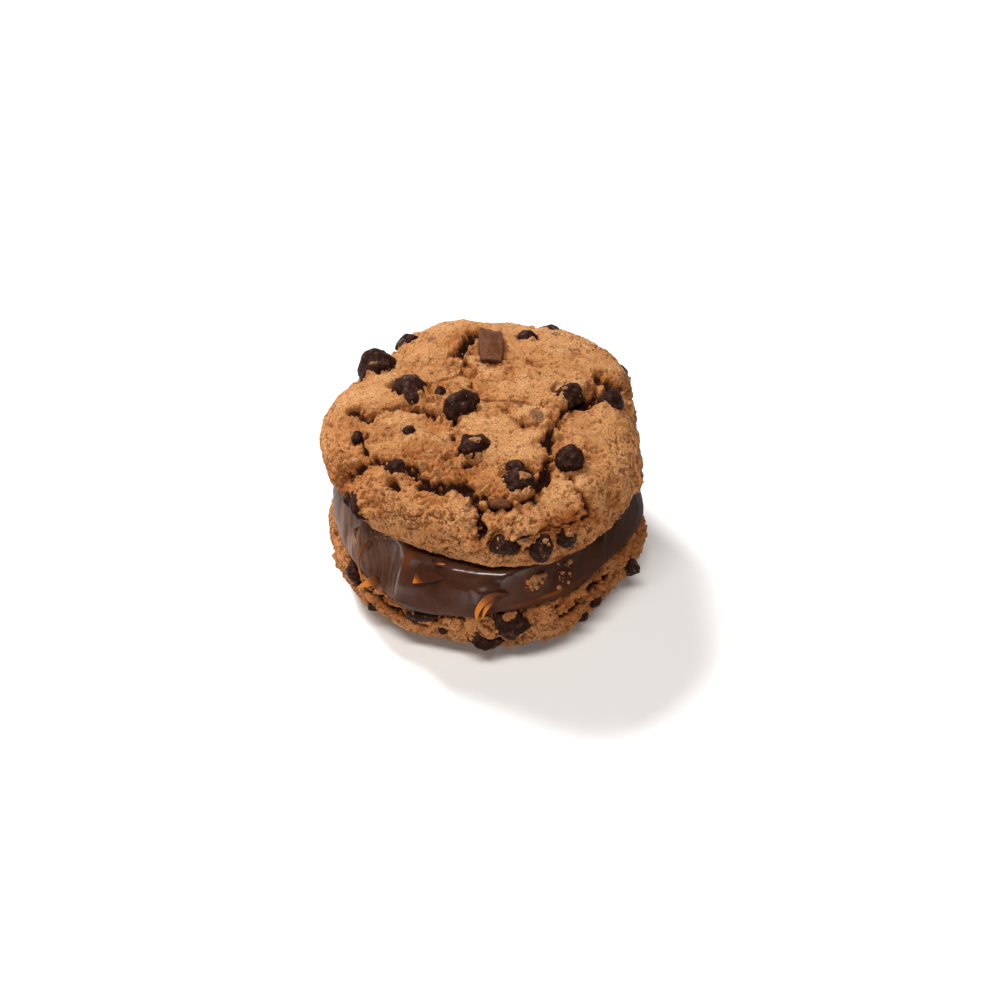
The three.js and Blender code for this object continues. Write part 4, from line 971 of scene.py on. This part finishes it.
# The upper cookie: the same dough, dome up, its flat side pressed on the caramel.
# The middle rose and split off in plates along ragged cracks that run to the rim.
UPPER.update({
    "cracks": [
        # ragged valley between the front rim and the raised middle
        ([(204, 39), (208, 34), (211, 30), (223, 27), (236, 27), (249, 28), (257, 26)], 2.0, 1.1, 0.6),
        ([(257, 26), (266, 27.5), (272, 29), (282, 29.5), (291, 28), (300, 24)], 1.6, 1.2, 0.7),
        # cliff at the right of the raised middle, running out into a notch in the right rim
        ([(300, 24), (307, 21), (320, 17), (336, 16), (350, 17), (0, 19.5)], 1.7, 1.7, 1.0),
        ([(0, 19.5), (6, 23), (14, 27), (20, 33), (21, 38)], 2.2, 2.0, 0.3),
        # hollow between the two middle chips
        ([(198, 8), (231, 12), (246, 18)], 1.4, 1.2, 0.2),
        # fine cracks across the middle plate
        ([(150, 2), (6, 3), (3, 8), (357, 12), (2, 16), (10, 18)], 0.8, 0.8, -0.3),
        ([(328, 3), (316, 8), (318, 11), (330, 13)], 0.7, 0.6, 0.2),
        ([(75, 15), (66, 16), (54, 16), (46, 16)], 0.7, 1.1, -0.2),
        # cave beside the milk chocolate chunk
        ([(110, 18.5), (102, 22.5), (95, 26)], 1.9, 2.8, 0),
        # crumbly bands over the left and the back
        ([(108, 17), (113, 10), (150, 3)], 1.4, 0.8, 0.2),
        ([(154, 15), (124, 12), (108, 11)], 1.2, 0.6, 0),
        ([(180, 30), (188, 26), (182, 22), (183, 18), (190, 14), (200, 11)], 1.1, 0.8, 0.3),
        ([(197, 28.5), (204, 30), (210, 30)], 1.2, 1.2, 0.2),
        # splits through the front rim
        ([(266, 29), (267, 32), (268, 35), (267, 38)], 0.9, 1.5, 0),
        ([(310, 27), (308, 30), (310, 33), (308, 37)], 1.0, 1.6, 0.2),
        # ledge over the front rim's chips
        ([(264, 41.5), (270, 38.8), (276, 37.3), (283, 37), (290, 36), (297, 36), (303, 36.6)],
         0.7, 0.7, 0.6),
    ],
    "ground": [
        (193, 21, 16, 0.7), (300, 12, 18, 0.6), (60, 22, 20, 0.4), (335, 31, 16, -0.6), (205, 37, 7, -2.0),
        (232, 14, 6, -1.2), (13, 29, 8, -1.2), (27, 33, 9, 0.9), (134, 30, 10, -0.7), (168, 33, 12, 0.5),
        (244, 31, 12, 0.3),
    ],
    "crumbly": [
        (205, 37, 9, 1.0), (16, 30, 10, 0.9), (104, 21, 7, 1.0), (228, 24, 10, 0.9), (243, 23, 10, 1.0),
        (257, 22, 9, 0.9), (272, 27, 8, 0.9), (290, 26, 6, 0.8), (352, 17, 6, 0.8), (170, 12, 9, 0.8),
        (120, 16, 9, 0.7), (200, 12, 8, 0.7), (320, 19, 7, 0.8), (186, 28, 8, 0.7), (140, 24, 8, 0.5),
    ],
    "smears": [
        (292, 36, 4, 0.8), (296.5, 35.8, 5, 1.0), (301.5, 35.4, 5, 1.0), (307, 34.8, 4.4, 0.9),
        (309.8, 38.4, 3, 0.7), (206, 42, 6, 0.8), (246, 46, 4, 0.6), (285, 44, 3.4, 0.5),
        (290, 44, 3.4, 0.8), (295.5, 44, 4, 0.9), (301.5, 44, 4, 0.8),
    ],
    "patches": [
        (338.5, 11.5, 3.4, 1.0), (334, 12.6, 2.4, 0.9), (349, 7.4, 2.0, 0.9), (283, 37.1, 2.6, 0.9),
        (118, 27, 2.6, 0.7), (104, 17, 2.2, 0.6), (60, 30, 3.0, 0.7),
    ],
    "holes": [
        (195, 29.6, 3.0, 2.2), (212, 28.8, 2.0, 1.8), (257, 20, 2.4, 2.2), (324, 16.8, 2.0, 2.2),
        (316, 19, 1.8, 2.2), (311, 20.8, 1.8, 2.0), (229, 32.2, 1.5, 1.6), (241, 28.8, 1.7, 1.8),
        (246, 27.6, 1.2, 1.4), (210, 33.8, 2.0, 1.6), (101, 21.8, 3.4, 2.6), (95, 26.4, 2.4, 2.2),
        (306, 36.8, 2.0, 1.8), (309, 33, 1.6, 1.4), (18, 26.4, 2.6, 1.6), (24, 27.8, 3.0, 1.8),
        (221, 24, 1.6, 0.9), (241, 19.2, 2.0, 1.3), (254, 23.8, 1.8, 1.4), (267, 35.4, 1.4, 1.4),
        (268, 30.5, 1.8, 1.6), (340, 16.6, 1.8, 1.6), (56, 16.2, 1.4, 1.0), (48, 16.2, 1.6, 1.2),
        (175, 12, 1.6, 1.0), (188, 25.2, 1.6, 1.0), (273.5, 29.2, 3.4, 1.7), (278, 29, 3.4, 1.7),
        (227, 31.5, 2.2, 2.0), (238, 29, 2.2, 2.2), (244, 27.5, 1.8, 2.2), (264, 28.4, 2.8, 2.0),
        (267, 33.5, 1.6, 2.0),
    ],
    "chips": [
        (147, 32.0, -0.1, 9.2, 8.6, 9.2, {"tip": 0}),
        (123, 36.2, -0.6, 5.4, 8.4, 3.6, {"turn": 33}),
        (164, 18.2, -0.9, 7.8, 9.0, 6.8, {"turn": 20, "tip": 0.1}),
        (186, 5.8, -0.8, 10.0, 7.4, 6.6, {"turn": 35}),
        (222, 28.0, -1.2, 5.0, 5.0, 4.6),
        (258, 15.2, -1.0, 6.8, 7.4, 6.2, {"lean": 15, "ragged": 1.8}),
        (286, 24.2, -0.9, 8.6, 6.8, 5.2, {"lean": 20}),
        (315.5, 24.4, 0.8, 6.2, 6.6, 4.4, {"lean": 60, "tip": 0}),
        (12, 19.8, -1.0, 7.0, 6.4, 5.4, {"ragged": 1.6}),
        (11, 30.6, -0.4, 6.0, 6.2, 5.4),
        (88, 18.4, -0.9, 5.6, 11.6, 6.4, {"lean": 15, "square": 0.7}),
        (70, 26.0, -1.0, 4.6, 4.8, 4.2),
        (276, 38.8, -1.1, 7.2, 5.0, 4.2),
        (288.4, 40.4, -1.0, 4.9, 6.6, 4.6, {"ragged": 2}),
        (297.2, 39.6, -1.1, 4.8, 5.0, 4.0, {"turn": 15, "ragged": 2}),
        (218, 40.8, -1.1, 3.8, 7.0, 3.8, {"turn": 8, "ragged": 1.8}),
        (36, 40, -1.3, 6.4, 5.6, 4.6),
        (66, 38, -1.0, 6.8, 6.2, 5.0),
        (101, 41, -1.2, 5.6, 5.0, 4.4),
        (340, 42, -1.2, 5.2, 4.6, 4.0),
    ],
    "pitted": 0.45,
    "sandy": 0.75,
})
DOME_STEP = 0.28
upper_rings = even_rings(0, HEEL_REACH, DOME_STEP, crust_radius) + plain_rings
bake_cookie(UPPER, upper_rings, dough)

# The upper cookie's chips: dark drops like the lower one's, and one block of milk chocolate.
# The largest stands proud at the back left rim; others peep from the cracks.
chocolates["milk_chocolate"] = chocolate("milk chocolate", rgb(84, 50, 32), rgb(116, 76, 54), 0.4, 0.6)
set_chips(UPPER)

# Small bits of chocolate, broken off the chips when the dough was mixed and baked into both cookies' skins.
# All are dark, but for the flat sliver of milk chocolate in the front crack.
UPPER_BITS = [
    (162, 11.2, -0.4, 2.8, 3.4, 2.4),
    (206, 19.2, -0.2, 2.9, 2.6, 1.8),
    (195, 29.6, -0.5, 2.6, 3.6, 2.4),
    (287, 19.9, -0.1, 4.0, 3.2, 1.8),
    (212.2, 41.2, -0.3, 2.0, 4.6, 2.0, {"turn": 8, "ragged": 1.8}),
    (275.2, 28.9, -0.9, 5.0, 2.0, 2.2, {"square": 0.6}),
]
LOWER_BITS = [
    (307, 37.4, -0.4, 3.4, 3.0, 2.4),
    (314, 39.4, -0.4, 2.2, 3.4, 2.2),
    (225, 38.8, -0.4, 2.4, 2.8, 2.2),
    (254, 40.2, -0.3, 2.2, 2.2, 2.0),
]
BIT_SEED = 40
bit_ball = ball(4)
for cookie, bits in ((UPPER, UPPER_BITS), (LOWER, LOWER_BITS)):
    for number, bit in enumerate(bits):
        name = f"{cookie['name']}_bit_{number + 1}"
        set_chip(cookie, name, [f"{cookie['name']}_cookie"], number + BIT_SEED, bit, bit_ball)

# Dabs of dough that stuck to the chips and baked on them: several flat lumps each, on the side that shows.
# A row gives the cookie, the chip, the dab's place on it as (right, back, up), and its width, length and
# thickness.
DABS = [
    (UPPER, 1, (-0.2, -0.5, 0.9), 1.8, 0.7, 0.5), (UPPER, 4, (0.4, 0.8, 0.8), 4.6, 0.9, 0.9),
    (UPPER, 4, (-0.8, 0.5, 0.6), 1.4, 1.0, 0.7), (UPPER, 6, (0.1, -0.1, 1), 2.4, 1.5, 0.7),
    (UPPER, 6, (-0.4, -0.9, 0.3), 2.0, 1.2, 0.8), (UPPER, 6, (0.5, -0.8, 0.4), 1.6, 1.2, 0.8),
    (UPPER, 7, (0.35, -0.1, 1), 3.4, 2.0, 0.9), (UPPER, 9, (-0.4, -0.2, 1), 1.6, 1.2, 0.7),
    (UPPER, 13, (0.1, -0.1, 1), 0.9, 0.7, 0.5), (UPPER, 13, (0, 0.9, 0.5), 5.6, 1.6, 1.2),
    (UPPER, 14, (0.0, 0.8, 0.7), 4.2, 1.8, 1.2), (UPPER, 14, (0.5, -0.5, 0.8), 1.8, 1.4, 0.7),
    (UPPER, 15, (0.1, 0.7, 0.7), 3.4, 1.6, 1.0), (UPPER, 15, (0.5, -0.3, 0.8), 1.6, 1.4, 0.7),
    (UPPER, 16, (0.6, 0.3, 0.8), 1.4, 3.6, 0.9),
    (LOWER, 2, (0.1, -0.2, 0.9), 3.0, 3.4, 1.0), (LOWER, 1, (0.0, -0.4, 0.8), 1.4, 0.9, 0.6),
]


def torn_lump(number, directions, sizes):
    """A ragged lump of dough about its own middle."""
    rough = 1 + 0.35 * lumps(directions + 3 * number, 0.8) + 0.25 * lumps(directions + 3 * number, 0.3)
    return directions * rough[:, None] * np.array(sizes) / 2


def scatter(name, lumps_made, faces):
    """One piece of many lumps of dough, dried and stuck where they lie."""
    points = np.vstack(lumps_made)
    points[:, 2] = np.maximum(points[:, 2], 0)
    each = len(lumps_made[0])
    faces = [[i + each * number for i in face] for number in range(len(lumps_made)) for face in faces]
    whole = np.ones(len(points))
    # the dabs and crumbs get none of the painted shade of the hollows
    make_piece(name, points, faces, dough, [], {"clear_of_hollows": whole, "stuck": whole})


LUMPS_PER_DAB = 7
dab_ball, dab_faces = ball(3)
dabs = []
rng = np.random.default_rng(3)
for cookie, chip_number, towards, wide, long, thick in DABS:
    towards = np.array(towards) / np.linalg.norm(towards)
    chip = cookie["chips"][chip_number - 1]
    _, outward = place_on(cookie, chip[0], chip[1])
    along_chip = towards @ upright(outward, extras(chip)["turn"], extras(chip)["lean"])
    spot = chip_points(cookie, chip_number - 1, along_chip[None], chip)[0]
    for number in range(LUMPS_PER_DAB):
        aside = rng.uniform(-0.36, 0.36, 2) * np.array([wide, long])
        sizes = rng.uniform(0.35, 0.7) * np.array([wide, long, 1.4 * thick])
        lump = torn_lump(len(dabs), dab_ball, sizes) + np.array([*aside, rng.uniform(-0.2, 0.1) * thick])
        dabs.append(lump @ upright(towards).T + spot)
scatter("dough_dabs", dabs, dab_faces)

# Loose crumbs of the same dough, rubbed off while the sandwich was put together.
# They lie in the cracks, cling to the chips and stick to the caramel, there mostly in clusters.
CRUMB_COUNT = 420
CRUMB_REACH = 40
CRUMBS_PER_CHIP = 3
TRIES = 4000
# On the caramel: angle, share of the fall, how far each spreads, and how many
FLAKE_CLUSTERS = [(286.8, 0.46, 1.35, 0.06, 46), (290.5, 0.40, 1.6, 0.04, 14), (299, 0.62, 3.0, 0.08, 12),
                  (223, 0.12, 3.0, 0.05, 7), (303, 0.35, 3.0, 0.1, 6)]
crumb_ball, crumb_faces = ball(2)
rng = np.random.default_rng(7)
crumb_angles = rng.uniform(0, 2 * pi, TRIES)
crumb_reaches = CRUMB_REACH * np.sqrt(rng.uniform(0, 1, TRIES))
crumb_places = []
for cookie, share in ((UPPER, 0.7), (LOWER, 0.3)):
    surface, masks = baked_surface(cookie, crumb_angles, crumb_reaches)
    likely = rng.uniform(0, 1, TRIES) < 0.04 + 0.9 * masks["crumbly"]
    crumb_places.append(surface[likely][:round(CRUMB_COUNT * share)])
for cookie in (UPPER, LOWER):
    for seed, chip in enumerate(cookie["chips"]):
        towards = rng.normal(size=(CRUMBS_PER_CHIP, 3))
        towards[:, 2] = np.abs(towards[:, 2])
        crumb_places.append(chip_points(cookie, seed, unit(towards), chip))
crumb_places = np.vstack(crumb_places)
crumb_sizes = 0.2 + 0.6 * rng.uniform(0, 1, len(crumb_places)) ** 4
for angle, fall, sideways, downwards, count in FLAKE_CLUSTERS:
    flake_angles = np.radians(rng.normal(angle, sideways, count))
    flake_falls = np.clip(rng.normal(fall, downwards, count), 0.03, 0.9)
    crumb_places = np.vstack([crumb_places, caramel_side(flake_angles, flake_falls)])
    crumb_sizes = np.concatenate([crumb_sizes, 0.3 + 1.1 * rng.uniform(0, 1, count) ** 2])
crumbs = [torn_lump(number, crumb_ball, size * rng.uniform(0.7, 1.3, 3)) + spot
          for number, (spot, size) in enumerate(zip(crumb_places, crumb_sizes))]
scatter("loose_crumbs", crumbs, crumb_faces)

# The table and the light: a wide pale table, a small window light from the back left,
# and a long low panel of light over the front that fills the side facing the camera.
bpy.ops.mesh.primitive_plane_add(size=8, location=(0, 0, 0))
table = bpy.context.object
table.name = "table"
table_white = plain_material("table white", Base_Color=(0.82, 0.82, 0.82, 1), Roughness=0.9,
                             Emission_Color=(1, 1, 1, 1), Emission_Strength=0.08)[0]
table.data.materials.append(table_white)
table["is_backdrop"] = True


def soft_light(name, azimuth, elevation, distance, wide, high, watts, colour):
    """A soft panel of light aimed at the cookies; azimuth in degrees from +X."""
    light = bpy.data.lights.new(name, "AREA")
    light.shape = "RECTANGLE"
    light.size, light.size_y = wide, high
    light.energy = watts
    light.color = colour
    lamp = bpy.data.objects.new(name, light)
    flat, height = np.cos(radians(elevation)), np.sin(radians(elevation))
    lamp.location = distance * Vector(swung(flat, np.radians([azimuth]), height)[0])
    lamp.rotation_euler = lamp.location.to_track_quat("Z", "Y").to_euler()
    bpy.context.scene.collection.objects.link(lamp)


soft_light("window", azimuth=132, elevation=52, distance=1.2, wide=0.36, high=0.36, watts=21.5,
           colour=(1, 1, 1))
soft_light("overhead panel", azimuth=264, elevation=63, distance=1.4, wide=0.8, high=0.22, watts=17.3,
           colour=(1.0, 0.97, 0.93))
world = bpy.data.worlds.new("studio")
bpy.context.scene.world = world
world.use_nodes = True
background = world.node_tree.nodes["Background"].inputs
background["Color"].default_value = (1, 1, 1, 1)
background["Strength"].default_value = 0.07
bpy.context.scene.view_settings.view_transform = "Standard"

# The camera looks down on the cookies from the front, through a long lens.
# The photograph's frame puts the cookies left of and above its middle, so the camera stands to the right.
PIXELS = 1000
FOCAL_PIXELS = 3111
AIM_PIXEL = (488, 480.5)
ELEVATION = radians(43.5)
DISTANCE = 0.7
AIM = Vector((0.65, 0.24, 23.5)) * MM
back = Vector((0, -np.cos(ELEVATION), np.sin(ELEVATION)))
right = Vector((1, 0, 0))
up = back.cross(right)
per_pixel = DISTANCE / FOCAL_PIXELS
lens = bpy.data.cameras.new("camera")
lens.sensor_width = 36
lens.lens = FOCAL_PIXELS / PIXELS * lens.sensor_width
lens.clip_start = 0.01
camera = bpy.data.objects.new("camera", lens)
camera.location = (AIM + DISTANCE * back + (PIXELS / 2 - AIM_PIXEL[0]) * per_pixel * right
                   - (PIXELS / 2 - AIM_PIXEL[1]) * per_pixel * up)
camera.rotation_euler = back.to_track_quat("Z", "Y").to_euler()
bpy.context.scene.collection.objects.link(camera)
bpy.context.scene.camera = camera

sizes = {"cad": [list(corner) for corner in cad_box], "visual": [list(corner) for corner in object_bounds()]}
